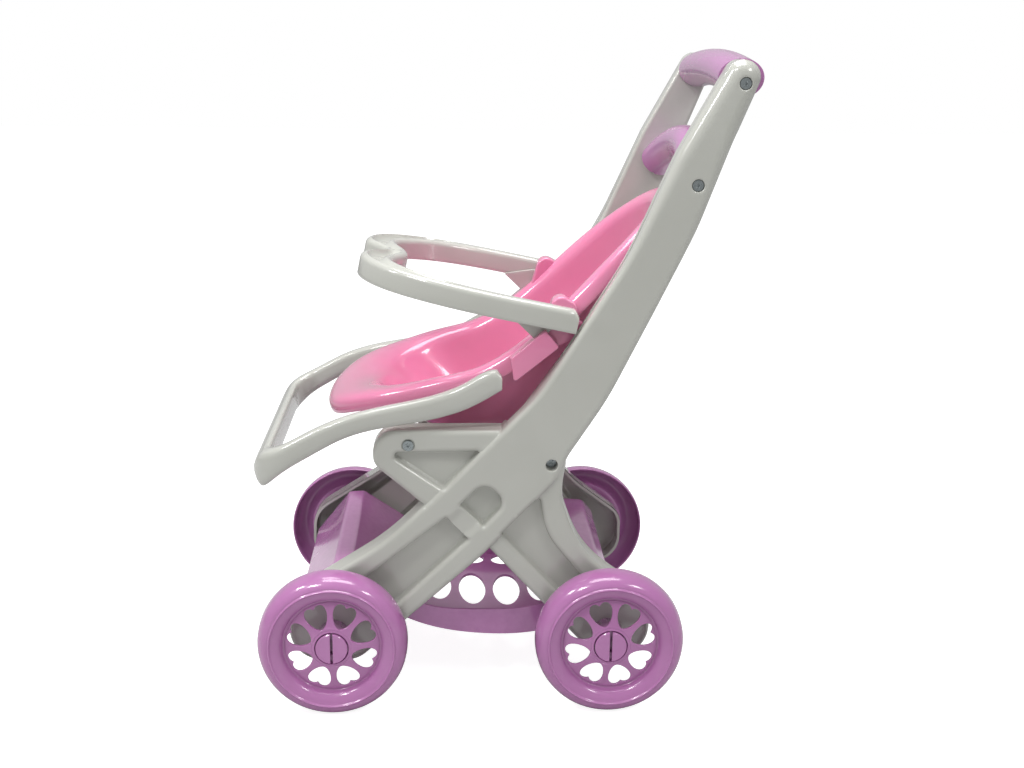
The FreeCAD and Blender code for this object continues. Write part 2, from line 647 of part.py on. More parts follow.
def footrest():
    """The S-shaped loop: two side rails joined by a front bar, with a peg at each rear end."""
    profile = side_slab(rounded_wire(FOOTREST_SIDE), -FOOTREST_OUT_X, FOOTREST_OUT_X)
    outer_x = FOOTREST_OUT_X
    front = -178.0
    plan = rounded_wire([
        (-outer_x, 60, 2), (-outer_x, front, FOOTREST_CORNER), (outer_x, front, FOOTREST_CORNER),
        (outer_x, 60, 2),
    ])
    inner_x = outer_x - FOOTREST_RAIL
    gap = rounded_wire([
        (-inner_x, 80, 2), (-inner_x, front + FOOTREST_BAR_DEPTH, FOOTREST_CORNER / 2),
        (inner_x, front + FOOTREST_BAR_DEPTH, FOOTREST_CORNER / 2), (inner_x, 80, 2),
    ])
    solid = profile.common(Part.Face(plan).extrude(Vector(0, 0, 500)))
    solid = solid.cut(Part.Face(gap).extrude(Vector(0, 0, 500)))
    skin = LOOP_SKIN
    under = profile.translated(Vector(0, 0, -skin))
    inset_plan = rounded_wire([
        (-outer_x + skin, 0, 2), (-outer_x + skin, front + skin, FOOTREST_CORNER - skin),
        (outer_x - skin, front + skin, FOOTREST_CORNER - skin), (outer_x - skin, 0, 2),
    ])
    wider_gap = rounded_wire([
        (-inner_x - skin, 80, 2),
        (-inner_x - skin, front + FOOTREST_BAR_DEPTH - skin, FOOTREST_CORNER / 2 + skin),
        (inner_x + skin, front + FOOTREST_BAR_DEPTH - skin, FOOTREST_CORNER / 2 + skin),
        (inner_x + skin, 80, 2),
    ])
    under = under.common(Part.Face(inset_plan).extrude(Vector(0, 0, 500)))
    solid = solid.cut(under.cut(Part.Face(wider_gap).extrude(Vector(0, 0, 500))))
    for sign in SIDES.values():
        peg = across(FOOTREST_PEG_RADIUS, *FOOTREST_PEG, *sorted((sign * 94, sign * (inner_x + 1))))
        solid = solid.fuse(peg)
    return solid.removeSplitter()


feature("bumper_bar", bumper())
feature("footrest_loop", footrest())


# ---------------------------------------------------------------- crossmembers and basket

SCREW_PLATE_X = dim("channel_end_x") - dim("end_plate")
CROSSMEMBERS = {
    "front_crossmember": {
        "outline": [(-150.0, 72.0, 2), (-117.0, 113.5, 6), (-103.0, 114.0, 5), (-64.0, 88.0, 2),
                    (-64.0, 80.0, 1), (-100.0, 74.0, 6), (-140.0, 66.0, 2)],
        "channel": [(-146.0, 60.0, 1), (-146.0, 71.5, 1), (-115.5, 110.8, 4), (-104.0, 111.2, 4),
                    (-66.5, 86.0, 1), (-66.5, 60.0, 1)],
        "screw": CROSSMEMBER_SCREWS[0],
    },
    "rear_crossmember": {
        "outline": [(86.0, 72.0, 2), (86.0, 106.0, 5), (113.0, 104.0, 7), (122.5, 93.0, 5),
                    (131.0, 60.0, 2), (128.0, 52.0, 2), (96.0, 66.0, 4)],
        "channel": [(88.5, 45.0, 1), (88.5, 103.3, 3), (112.0, 101.5, 5), (120.0, 92.0, 4),
                    (128.5, 58.0, 1), (128.5, 45.0, 1)],
        "screw": CROSSMEMBER_SCREWS[1],
    },
}
BASKET_FLOOR = [(-61.5, 66.0), (-30.0, 54.0), (9.0, 48.0), (50.0, 48.6), (84.0, 57.0)]
BASKET_TOP = [(-61.5, 87.0), (-35.0, 74.0), (9.0, 70.5), (50.0, 72.5), (84.0, 88.0)]
BASKET_HALF_WIDTH = 90.0
BASKET_SKIN = 2.5
OVAL_COLUMNS = [-29.5, 2.5, 34.5, 66.5]
OVAL_HALF_WIDTH = 12.5
OVAL_ROWS = [(0.0, 35.0), (-73.0, 12.5), (73.0, 12.5)]      # centre x and half length


def symmetric(kind, body, name, curves, formula):
    """A pad or pocket of a side-view sketch, the same reach to both sides of the middle plane."""
    made = body.newObject(kind, name)
    made.Profile = new_sketch(body, name + "Sketch", "YZ_Plane", curves)
    made.SideType = "Symmetric"
    bind(made, "Length", formula)
    doc.recompute()
    return made


def crossmember(name, spec):
    """A channel open underneath, closed by a screwed plate at each end."""
    body = doc.addObject("PartDesign::Body", name)
    symmetric("PartDesign::Pad", body, name + "Block", rounded_curves(spec["outline"]),
              "2 * {channel_end_x}")
    symmetric("PartDesign::Pocket", body, name + "Channel", rounded_curves(spec["channel"]),
              "2 * ({channel_end_x} - {end_plate})")
    circle = Part.Circle(Vector(*spec["screw"], 0), Vector(0, 0, 1), dim("screw_shank_radius"))
    holes = symmetric("PartDesign::Pocket", body, name + "ScrewHoles", [circle],
                      "2 * {channel_end_x} + 2")
    sketch = holes.Profile[0]
    sketch.addConstraint(Sketcher.Constraint("Radius", 0, dim("screw_shank_radius")))
    bind(sketch, "Constraints[0]", "{screw_shank_radius}")
    doc.recompute()
    finish(body, name)


def between_curves(lower_points, upper_points, half_width):
    """A slab across the stroller between two smooth side-view lines."""
    def spline(points):
        curve = Part.BSplineCurve()
        curve.interpolate([Vector(y, z, 0) for y, z in points])
        return curve
    lower = spline(lower_points)
    upper = spline(upper_points)
    edges = [lower.toShape(), upper.toShape(),
             Part.LineSegment(lower.StartPoint, upper.StartPoint).toShape(),
             Part.LineSegment(lower.EndPoint, upper.EndPoint).toShape()]
    return side_slab(Part.Wire(Part.__sortEdges__(edges)), -half_width, half_width)


def basket():
    """A shallow tray that sags between the crossmembers, with oval holes in its floor."""
    def raised(points, lift):
        return [(y, z + lift) for y, z in points]
    solid = between_curves(BASKET_FLOOR, BASKET_TOP, BASKET_HALF_WIDTH)
    floor_end, rear_end = BASKET_FLOOR[0][0], BASKET_FLOOR[-1][0]
    inside = between_curves(raised(BASKET_FLOOR, BASKET_SKIN), raised(BASKET_TOP, 30),
                            BASKET_HALF_WIDTH - BASKET_SKIN)
    keep_ends = Part.makeBox(400, rear_end - floor_end - 2 * BASKET_SKIN, 400,
                             Vector(-200, floor_end + BASKET_SKIN, 0))
    solid = solid.cut(inside.common(keep_ends))
    for y in OVAL_COLUMNS:
        for x, half_length in OVAL_ROWS:
            long_side = max(half_length, OVAL_HALF_WIDTH + 0.01)
            oval = Part.Wire(Part.Ellipse(Vector(x, y, 0), long_side, OVAL_HALF_WIDTH).toShape())
            solid = solid.cut(Part.Face(oval).extrude(Vector(0, 0, 200)))
    return solid.removeSplitter()


for name, spec in CROSSMEMBERS.items():
    crossmember(name, spec)
feature("basket", basket())


# ---------------------------------------------------------------- screws

def screw(place, head_x, tip_x, sign):
    """One pan-head screw along X whose head's outer face is at head_x."""
    head = dim("screw_head_radius")
    shank = dim("screw_shank_radius")
    inward = 1 if tip_x > head_x else -1
    under_head = head_x + inward * HEAD_THICKNESS
    solid = across(head, *place, *sorted((sign * head_x, sign * under_head)))
    solid = solid.fuse(across(shank, *place, *sorted((sign * under_head, sign * tip_x))))
    recess_floor = head_x + inward * HEAD_THICKNESS / 2
    for turn in (45, 135):
        bar = Part.makeBox(HEAD_THICKNESS, 1.1, 5.0, Vector(-HEAD_THICKNESS / 2, -0.55, -2.5))
        bar.Placement = Placement(
            Vector(sign * (recess_floor - inward * HEAD_THICKNESS / 2), *place),
            Rotation(Vector(1, 0, 0), turn))
        solid = solid.cut(bar)
    return solid


SCREW_GROUPS = {
    "handle_screws": (HANDLE_SCREW, SCREW_HEAD_SEAT, SCREW_DEPTH_X + 1),
    "crossbar_screws": (CROSSBAR_SCREW, SCREW_HEAD_SEAT, SCREW_DEPTH_X + 1),
    "lug_screws": (LUG_SCREW, SCREW_HEAD_SEAT, FRAME_IN + 1),
    "joint_screws": (JOINT_SCREW, JOINT_SCREW_SEAT + HEAD_THICKNESS, COVER_IN + 1.5),
    "front_crossmember_screws": (
        CROSSMEMBER_SCREWS[0], SCREW_PLATE_X - HEAD_THICKNESS, CROSSMEMBER_SCREW_TIP),
    "rear_crossmember_screws": (
        CROSSMEMBER_SCREWS[1], SCREW_PLATE_X - HEAD_THICKNESS, CROSSMEMBER_SCREW_TIP),
}
for name, (place, head_x, tip_x) in SCREW_GROUPS.items():
    feature(name, Part.Compound([screw(place, head_x, tip_x, sign) for sign in SIDES.values()]))


# ---------------------------------------------------------------- check and write

doc.recompute()
for obj in doc.Objects:
    if "Invalid" in obj.State or "Error" in obj.State:
        raise RuntimeError(f"{obj.Name} failed to recompute: {obj.State}")

total = FreeCAD.BoundBox()
for name, obj in finished.items():
    shape = obj.Shape
    if shape.isNull() or not shape.isValid() or not shape.Solids:
        raise RuntimeError(f"{name} has no valid solid")
    shape.exportStep(os.path.join(PARTS_FOLDER, f"{name}.step"))
    total.add(shape.BoundBox)
    print(f"{name}: {len(shape.Solids)} solid(s), {shape.Volume / 1000:.1f} cm3")
print(f"size {total.XLength:.2f} x {total.YLength:.2f} x {total.ZLength:.2f}, "
      f"y from {total.YMin:.2f} to {total.YMax:.2f}")
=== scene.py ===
"""Doll stroller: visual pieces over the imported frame. Metres, +X the stroller's left, -Y its front."""
import json
import math

import bmesh
import bpy
import numpy as np
from mathutils import Matrix, Vector
from mathutils.geometry import delaunay_2d_cdt


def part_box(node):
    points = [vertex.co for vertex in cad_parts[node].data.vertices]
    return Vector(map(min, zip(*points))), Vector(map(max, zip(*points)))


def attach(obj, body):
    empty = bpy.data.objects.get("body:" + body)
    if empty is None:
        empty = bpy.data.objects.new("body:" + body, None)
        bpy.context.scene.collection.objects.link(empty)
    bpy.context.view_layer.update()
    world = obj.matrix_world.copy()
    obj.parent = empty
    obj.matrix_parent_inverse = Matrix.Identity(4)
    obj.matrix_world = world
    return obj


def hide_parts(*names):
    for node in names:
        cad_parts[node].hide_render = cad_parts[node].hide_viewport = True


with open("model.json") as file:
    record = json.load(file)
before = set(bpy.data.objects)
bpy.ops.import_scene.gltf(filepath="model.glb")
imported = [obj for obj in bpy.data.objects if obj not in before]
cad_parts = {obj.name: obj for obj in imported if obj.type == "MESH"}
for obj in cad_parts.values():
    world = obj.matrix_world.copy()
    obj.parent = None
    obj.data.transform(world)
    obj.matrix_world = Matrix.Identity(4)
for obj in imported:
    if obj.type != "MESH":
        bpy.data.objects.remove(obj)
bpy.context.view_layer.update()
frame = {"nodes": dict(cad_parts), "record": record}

nodes = frame["nodes"]
SIDES = {"left": 1, "right": -1}


def node_centre(name):
    low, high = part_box(name)
    return (Vector(low) + Vector(high)) / 2


FRONT_AXLE = node_centre("front_left_wheel")
REAR_AXLE = node_centre("rear_left_wheel")
MIDDLE_Y = (FRONT_AXLE.y + REAR_AXLE.y) / 2
WHEEL_X = 0.14


def place(x, y, z):
    """Metres in the frame from millimetres measured from the floor between the axles."""
    return Vector((x / 1000, MIDDLE_Y + y / 1000, z / 1000))


# ---------------------------------------------------------------- materials

def node_link(tree, source, socket, target, name):
    tree.links.new(source.outputs[socket], target.inputs[name])


def plastic(name, base, dark, light, roughness=0.24, bump=0.02, coat=0.35, soft=0.0, scatter=None):
    """Moulded glossy plastic: flow marks in the colour, uneven sheen, edges lightened both as scuffs and as
    a painted highlight, fine skin bump.
    """
    mat = bpy.data.materials.new(name)
    mat.use_nodes = True
    tree = mat.node_tree
    tree.nodes.clear()
    out = tree.nodes.new("ShaderNodeOutputMaterial")
    shader = tree.nodes.new("ShaderNodeBsdfPrincipled")
    node_link(tree, shader, "BSDF", out, "Surface")
    coords = tree.nodes.new("ShaderNodeTexCoord")

    flow = tree.nodes.new("ShaderNodeTexNoise")
    flow.inputs["Scale"].default_value = 9.0
    flow.inputs["Detail"].default_value = 4.0
    flow.inputs["Distortion"].default_value = 0.8
    node_link(tree, coords, "Object", flow, "Vector")
    ramp = tree.nodes.new("ShaderNodeValToRGB")
    ramp.color_ramp.elements[0].position = 0.25
    ramp.color_ramp.elements[0].color = (*dark, 1)
    ramp.color_ramp.elements[1].position = 0.78
    ramp.color_ramp.elements[1].color = (*light, 1)
    middle = ramp.color_ramp.elements.new(0.5)
    middle.color = (*base, 1)
    node_link(tree, flow, "Fac", ramp, "Fac")

    # Painted highlight mixed with scuffs: sharp convex edges (pointiness) are lightened in the base colour,
    # broken up by a fine speck noise.
    geometry = tree.nodes.new("ShaderNodeNewGeometry")
    edge = tree.nodes.new("ShaderNodeMapRange")
    edge.inputs["From Min"].default_value = 0.53
    edge.inputs["From Max"].default_value = 0.66
    node_link(tree, geometry, "Pointiness", edge, "Value")
    speck = tree.nodes.new("ShaderNodeTexNoise")
    speck.inputs["Scale"].default_value = 160.0
    speck.inputs["Detail"].default_value = 3.0
    node_link(tree, coords, "Object", speck, "Vector")
    wear_and_edge_highlight = tree.nodes.new("ShaderNodeMath")
    wear_and_edge_highlight.operation = "MULTIPLY"
    tree.links.new(edge.outputs["Result"], wear_and_edge_highlight.inputs[0])
    tree.links.new(speck.outputs["Fac"], wear_and_edge_highlight.inputs[1])
    lighten = tree.nodes.new("ShaderNodeMix")
    lighten.data_type = "RGBA"
    lighten.inputs["B"].default_value = (*[min(1.0, c * 1.18 + 0.03) for c in light], 1)
    tree.links.new(wear_and_edge_highlight.outputs[0], lighten.inputs["Factor"])
    tree.links.new(ramp.outputs["Color"], lighten.inputs["A"])
    tree.links.new(lighten.outputs["Result"], shader.inputs["Base Color"])

    haze = tree.nodes.new("ShaderNodeTexNoise")
    haze.inputs["Scale"].default_value = 34.0
    haze.inputs["Detail"].default_value = 5.0
    node_link(tree, coords, "Object", haze, "Vector")
    sheen_range = tree.nodes.new("ShaderNodeMapRange")
    sheen_range.inputs["To Min"].default_value = roughness - 0.05
    sheen_range.inputs["To Max"].default_value = roughness + 0.07
    node_link(tree, haze, "Fac", sheen_range, "Value")
    tree.links.new(sheen_range.outputs["Result"], shader.inputs["Roughness"])

    skin = tree.nodes.new("ShaderNodeTexNoise")
    skin.inputs["Scale"].default_value = 620.0
    skin.inputs["Detail"].default_value = 2.0
    node_link(tree, coords, "Object", skin, "Vector")
    relief = tree.nodes.new("ShaderNodeBump")
    relief.inputs["Strength"].default_value = bump
    relief.inputs["Distance"].default_value = 0.0006
    node_link(tree, skin, "Fac", relief, "Height")
    sink = tree.nodes.new("ShaderNodeBump")
    sink.inputs["Strength"].default_value = 0.10
    sink.inputs["Distance"].default_value = 0.0015
    sink_noise = tree.nodes.new("ShaderNodeTexNoise")
    sink_noise.inputs["Scale"].default_value = 16.0
    sink_noise.inputs["Detail"].default_value = 1.0
    node_link(tree, coords, "Object", sink_noise, "Vector")
    node_link(tree, sink_noise, "Fac", sink, "Height")
    node_link(tree, relief, "Normal", sink, "Normal")
    node_link(tree, sink, "Normal", shader, "Normal")

    shader.inputs["Coat Weight"].default_value = coat
    shader.inputs["Coat Roughness"].default_value = 0.07
    shader.inputs["Specular IOR Level"].default_value = 0.5
    shader.inputs["IOR"].default_value = 1.49
    if soft:
        shader.inputs["Subsurface Weight"].default_value = soft
        shader.inputs["Subsurface Radius"].default_value = scatter
        shader.inputs["Subsurface Scale"].default_value = 0.004
    return mat


def steel(name, tint):
    """Zinc-plated steel with a fine turned grain."""
    mat = bpy.data.materials.new(name)
    mat.use_nodes = True
    tree = mat.node_tree
    shader = tree.nodes["Principled BSDF"]
    coords = tree.nodes.new("ShaderNodeTexCoord")
    grain = tree.nodes.new("ShaderNodeTexNoise")
    grain.inputs["Scale"].default_value = 900.0
    grain.inputs["Detail"].default_value = 4.0
    node_link(tree, coords, "Object", grain, "Vector")
    ramp = tree.nodes.new("ShaderNodeValToRGB")
    ramp.color_ramp.elements[0].color = (*[c * 0.72 for c in tint], 1)
    ramp.color_ramp.elements[1].color = (*[min(1, c * 1.2) for c in tint], 1)
    node_link(tree, grain, "Fac", ramp, "Fac")
    tree.links.new(ramp.outputs["Color"], shader.inputs["Base Color"])
    rough = tree.nodes.new("ShaderNodeMapRange")
    rough.inputs["To Min"].default_value = 0.2
    rough.inputs["To Max"].default_value = 0.38
    node_link(tree, grain, "Fac", rough, "Value")
    tree.links.new(rough.outputs["Result"], shader.inputs["Roughness"])
    relief = tree.nodes.new("ShaderNodeBump")
    relief.inputs["Strength"].default_value = 0.15
    relief.inputs["Distance"].default_value = 0.0003
    node_link(tree, grain, "Fac", relief, "Height")
    node_link(tree, relief, "Normal", shader, "Normal")
    shader.inputs["Metallic"].default_value = 1.0
    return mat


GREY = plastic("grey_plastic", (0.47, 0.475, 0.435), (0.45, 0.455, 0.415), (0.49, 0.495, 0.455),
               roughness=0.2, coat=0.8, soft=0.05, scatter=(0.6, 0.6, 0.5))
PINK = plastic("pink_plastic", (0.72, 0.225, 0.39), (0.695, 0.205, 0.37), (0.745, 0.245, 0.41),
               roughness=0.18, coat=0.8, soft=0.12, scatter=(1.0, 0.35, 0.5))
LILAC = plastic("lilac_plastic", (0.45, 0.175, 0.405), (0.43, 0.16, 0.385), (0.47, 0.19, 0.425),
                roughness=0.2, coat=0.75, soft=0.08, scatter=(0.9, 0.4, 0.8))
STEEL = steel("steel_screw", (0.36, 0.40, 0.41))
SLOTS = {"grey_plastic": GREY, "pink_plastic": PINK, "lilac_plastic": LILAC, "steel_screw": STEEL}


# ---------------------------------------------------------------- mesh helpers

def new_piece(name, verts, faces, mat, body, replaced=(), smooth_angle=38):
    mesh = bpy.data.meshes.new(name)
    mesh.from_pydata([tuple(v) for v in verts], [], faces)
    mesh.update()
    obj = bpy.data.objects.new(name, mesh)
    bpy.context.scene.collection.objects.link(obj)
    return dress(obj, mat, body, replaced, smooth_angle)


def dress(obj, mat, body, replaced=(), smooth_angle=38):
    """Clean normals, smooth shading up to an angle, material, and the frame's bookkeeping."""
    mesh = obj.data
    work = bmesh.new()
    work.from_mesh(mesh)
    bmesh.ops.remove_doubles(work, verts=work.verts, dist=1e-6)
    bmesh.ops.recalc_face_normals(work, faces=work.faces)
    limit = math.radians(smooth_angle)
    for face in work.faces:
        face.smooth = True
    for edge in work.edges:
        edge.smooth = len(edge.link_faces) == 2 and edge.calc_face_angle(0) < limit
    work.to_mesh(mesh)
    work.free()
    mesh.materials.clear()
    mesh.materials.append(mat)
    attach(obj, body)
    if replaced:
        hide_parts(*replaced)
    return obj


def loft(rings, closed_across=True, closed_along=False, cap=True):
    """Vertices and faces of a skin over equal rings of points."""
    verts = [p for ring in rings for p in ring]
    count = len(rings[0])
    faces = []
    spans = len(rings) if closed_along else len(rings) - 1
    for i in range(spans):
        here, there = i * count, ((i + 1) % len(rings)) * count
        for j in range(count if closed_across else count - 1):
            k = (j + 1) % count
            faces.append((here + j, here + k, there + k, there + j))
    if cap and not closed_along:
        faces.append(tuple(range(count)))
        faces.append(tuple(range((len(rings) - 1) * count, len(rings) * count)))
    return verts, faces


def spline(points, count, first=None, last=None):
    """Evenly spread points of a smooth curve through the given ones (natural cubic by chord)."""
    data = np.array(points, float)
    steps = np.linalg.norm(np.diff(data, axis=0), axis=1)
    t = np.concatenate([[0], np.cumsum(steps)])
    slopes = cubic_slopes(t, data, first, last)
    fine = np.linspace(0, t[-1], count * 8)
    dense = hermite(t, data, slopes, fine)
    length = np.concatenate([[0], np.cumsum(np.linalg.norm(np.diff(dense, axis=0), axis=1))])
    at = np.interp(np.linspace(0, length[-1], count), length, fine)
    return hermite(t, data, slopes, at)


def cubic_slopes(t, data, first=None, last=None):
    """Slopes of the smooth cubic through the points, natural at an end whose slope isn't given."""
    n = len(t)
    a = np.zeros((n, n))
    b = np.zeros((n, data.shape[1]))
    for i in range(1, n - 1):
        h0, h1 = t[i] - t[i - 1], t[i + 1] - t[i]
        a[i, i - 1], a[i, i], a[i, i + 1] = h1, 2 * (h0 + h1), h0
        b[i] = 3 * (h1 * (data[i] - data[i - 1]) / h0 + h0 * (data[i + 1] - data[i]) / h1)
    if first is None:
        a[0, 0], a[0, 1] = 2, 1
        b[0] = 3 * (data[1] - data[0]) / (t[1] - t[0])
    else:
        a[0, 0], b[0] = 1, first
    if last is None:
        a[-1, -1], a[-1, -2] = 2, 1
        b[-1] = 3 * (data[-1] - data[-2]) / (t[-1] - t[-2])
    else:
        a[-1, -1], b[-1] = 1, last
    return np.linalg.solve(a, b)


def hermite(t, data, slopes, at):
    """Points of the cubic pieces at the parameters in at."""
    i = np.clip(np.searchsorted(t, at, side="right") - 1, 0, len(t) - 2)
    h = (t[i + 1] - t[i])[:, None]
    s = ((at - t[i]) / (t[i + 1] - t[i]))[:, None]
    return ((2 * s**3 - 3 * s**2 + 1) * data[i] + (s**3 - 2 * s**2 + s) * h * slopes[i]
            + (-2 * s**3 + 3 * s**2) * data[i + 1] + (s**3 - s**2) * h * slopes[i + 1])


def rounded_outline(corners, step=2.0):
    """Points of straight runs joined by tangent arcs; each corner is (u, v, radius)."""
    pts = []
    count = len(corners)
    for index in range(count):
        here = Vector(corners[index][:2])
        before = Vector(corners[index - 1][:2])
        after = Vector(corners[(index + 1) % count][:2])
        radius = corners[index][2]
        a = (before - here).normalized()
        b = (after - here).normalized()
        half = a.angle(b) / 2
        reach = radius / math.tan(half)
        start, end = here + a * reach, here + b * reach
        centre = here + (a + b).normalized() * (radius / math.sin(half))
        sweep = math.pi - 2 * half
        turns = max(2, int(radius * sweep / step) + 1, int(sweep / 0.18) + 1)
        angle0 = math.atan2(start.y - centre.y, start.x - centre.x)
        angle1 = math.atan2(end.y - centre.y, end.x - centre.x)
        delta = (angle1 - angle0 + math.pi) % (2 * math.pi) - math.pi
        for k in range(turns + 1):
            angle = angle0 + delta * k / turns
            pts.append((centre.x + radius * math.cos(angle), centre.y + radius * math.sin(angle)))
    out = []
    for p, q in zip(pts, pts[1:] + pts[:1]):
        gap = math.dist(p, q)
        if gap < 1e-4:
            continue
        parts = max(1, int(gap / step))
        for k in range(parts):
            out.append((p[0] + (q[0] - p[0]) * k / parts, p[1] + (q[1] - p[1]) * k / parts))
    return np.array(out)


def inside_distance(points, poly):
    """Distance of each point from a closed polygon's edge, positive inside."""
    result = np.empty(len(points))
    a = poly
    b = np.roll(poly, -1, axis=0)
    ab = b - a
    square = (ab**2).sum(1)
    for low in range(0, len(points), 2000):
        p = points[low:low + 2000, None, :]
        t = np.clip(((p - a) * ab).sum(2) / square, 0, 1)
        near = a + ab * t[..., None]
        dist = np.sqrt(((p - near)**2).sum(2)).min(1)
        y, z = p[..., 0], p[..., 1]
        crosses = (a[:, 1] > z) != (b[:, 1] > z)
        with np.errstate(divide="ignore", invalid="ignore"):
            cut = (b[:, 0] - a[:, 0]) * (z - a[:, 1]) / (b[:, 1] - a[:, 1]) + a[:, 0]
        inside = (crosses & (y < cut)).sum(1) % 2 == 1
        result[low:low + 2000] = np.where(inside, dist, -dist)
    return result


def moved_inwards(poly, distance):
    """The polygon's points moved along their inward normals."""
    ahead = np.roll(poly, -1, axis=0) - np.roll(poly, 1, axis=0)
    ahead /= np.linalg.norm(ahead, axis=1)[:, None]
    normal = np.stack([-ahead[:, 1], ahead[:, 0]], 1)
    area = (poly[:, 0] * np.roll(poly[:, 1], -1) - np.roll(poly[:, 0], -1) * poly[:, 1]).sum()
    return poly + normal * distance * (1 if area > 0 else -1)


# ---------------------------------------------------------------- side frames

MAIN_MEMBER = [
    (228.5, 538.8, 13.5), (202.0, 473.4, 200), (177.8, 407.5, 300), (146.2, 341.1, 300),
    (110.6, 267.7, 300), (79.5, 219.5, 30), (70.5, 198.5, 40), (12.0, 134.5, 250),
    (-96.5, 37.0, 25), (-155.0, 37.0, 28), (-153.0, 93.0, 30), (-74.0, 143.5, 200),
    (-23.5, 191.5, 200), (53.0, 270.5, 120), (124.0, 384.0, 300), (160.0, 466.0, 150),
    (200.0, 539.0, 13),
]
SECOND_MEMBER = [
    (57.0, 241.0, 3), (79.5, 219.5, 20), (73.5, 185.0, 60), (92.0, 134.0, 90),
    (152.5, 88.7, 22), (152.5, 37.0, 28), (106.8, 37.0, 25), (14.8, 136.7, 3),
    (-42.5, 178.0, 100), (-81.5, 211.5, 14), (-82.0, 241.0, 20),
]
RECESSES = [
    [(-70.0, 221.5, 3), (7.0, 222.8, 1.5), (-24.0, 189.8, 3)],
    [(-9.5, 177.0, 1), (10.5, 197.0, 11), (29.0, 179.0, 11), (9.7, 158.0, 1)],
    [(-21.5, 165.8, 1), (-3.5, 146.7, 1), (-80.0, 72.0, 6), (-104.0, 100.5, 6)],
    [(56.5, 184.5, 3), (62.5, 150.0, 60), (103.0, 99.0, 5), (86.0, 84.5, 5), (24.6, 150.8, 2)],
]
BAND = [(-1.0, 187.0, 0.5), (20.0, 167.0, 0.5), (-13.5, 136.5, 0.5), (-32.5, 156.5, 0.5)]
COVER = [
    (228.5, 538.8, 13.5), (202.0, 473.4, 200), (177.8, 407.5, 300), (146.2, 341.1, 300),
    (110.6, 267.7, 300), (79.5, 219.5, 20), (70.0, 196.0, 10), (50.0, 204.0, 10),
    (31.5, 241.5, 12), (80.0, 311.0, 300), (124.5, 384.0, 300), (160.0, 466.0, 150),
    (200.0, 539.0, 13),
]
SCREW_HOLES = [((209.4, 521.0), 115.8), ((176.2, 442.4), 115.8), ((-52.5, 228.5), 115.8),
               ((65.7, 211.9), 106.8)]
FACE_X, SECOND_X, PANEL_X, INNER_X, SEAM_X = 120.0, 117.0, 109.0, 96.0, 104.0
EDGE_ROUND, HEAD_ROUND, LOWEST_EDGE_X = 4.6, 11.0, 112.0    # outer edges; rounder at the arm's head
HEAD_FROM, HEAD_REACH = 380.0, 150.0                        # heights over which the head rounds
BAND_DROP, BAND_EASE = 2.2, 8.0
RECESS_ROUND, FLOOR_ROUND, WALL_SLOPE, WALL = 4.2, 1.6, 0.7, 2.5
SCREW_BORE, BORE_RIM, BORE_ROUND = 5.02, 6.4, 0.8


def quarter_drop(distance, radius):
    """How far a quarter-round edge has dropped at a distance in from the edge."""
    reach = np.clip(radius - distance, 0, radius)
    return radius - np.sqrt(np.maximum(radius**2 - reach**2, 0))


def circle_points(centre, radius, count=28):
    turn = np.linspace(0, 2 * math.pi, count, endpoint=False)
    return np.stack([centre[0] + radius * np.cos(turn), centre[1] + radius * np.sin(turn)], 1)


main_poly = rounded_outline(MAIN_MEMBER)
second_poly = rounded_outline(SECOND_MEMBER)
recess_polys = [rounded_outline(r, 1.5) for r in RECESSES]
band_poly = rounded_outline(BAND, 1.5)
cover_poly = rounded_outline(COVER)


def skin_height(points):
    """The outer face's x over the side view, rounded at its edges and at the recesses' rims."""
    main_in = inside_distance(points, main_poly)
    second_in = inside_distance(points, second_poly)
    head = np.clip((points[:, 1] - HEAD_FROM) / HEAD_REACH, 0, 1)
    edge_radius = EDGE_ROUND + (HEAD_ROUND - EDGE_ROUND) * head
    main_x = np.where(main_in > -0.02, FACE_X - quarter_drop(np.maximum(main_in, 0), edge_radius), 0)
    second_drop = quarter_drop(np.maximum(second_in, 0), EDGE_ROUND)
    second_x = np.where(second_in > -0.02, SECOND_X - second_drop, 0)
    x = np.maximum(np.maximum(main_x, second_x), LOWEST_EDGE_X)
    in_band = inside_distance(points, band_poly)
    ease = np.clip(in_band / BAND_EASE, 0, 1)
    x = x - BAND_DROP * ease * ease * (3 - 2 * ease)
    for poly in recess_polys:
        depth_in = inside_distance(points, poly)
        outside = np.maximum(-depth_in, 0)
        rim_drop = quarter_drop(outside, RECESS_ROUND)
        rim_top = np.where(main_in > 0, FACE_X, SECOND_X)
        lowered = np.maximum(np.minimum(x, rim_top - rim_drop), PANEL_X)
        slope = np.clip(depth_in / WALL_SLOPE, 0, 1)
        foot = quarter_drop(np.clip(depth_in - WALL_SLOPE, 0, None), FLOOR_ROUND)
        floor = PANEL_X + foot
        x = np.where(depth_in > 0, lowered * (1 - slope) + floor * slope, lowered)
    for centre, floor_x in SCREW_HOLES:
        gap = np.hypot(points[:, 0] - centre[0], points[:, 1] - centre[1])
        edge = np.where(gap < BORE_RIM, quarter_drop(np.maximum(gap - SCREW_BORE, 0), BORE_ROUND), 0)
        x = np.where(gap < SCREW_BORE, floor_x, x - edge)
    return x


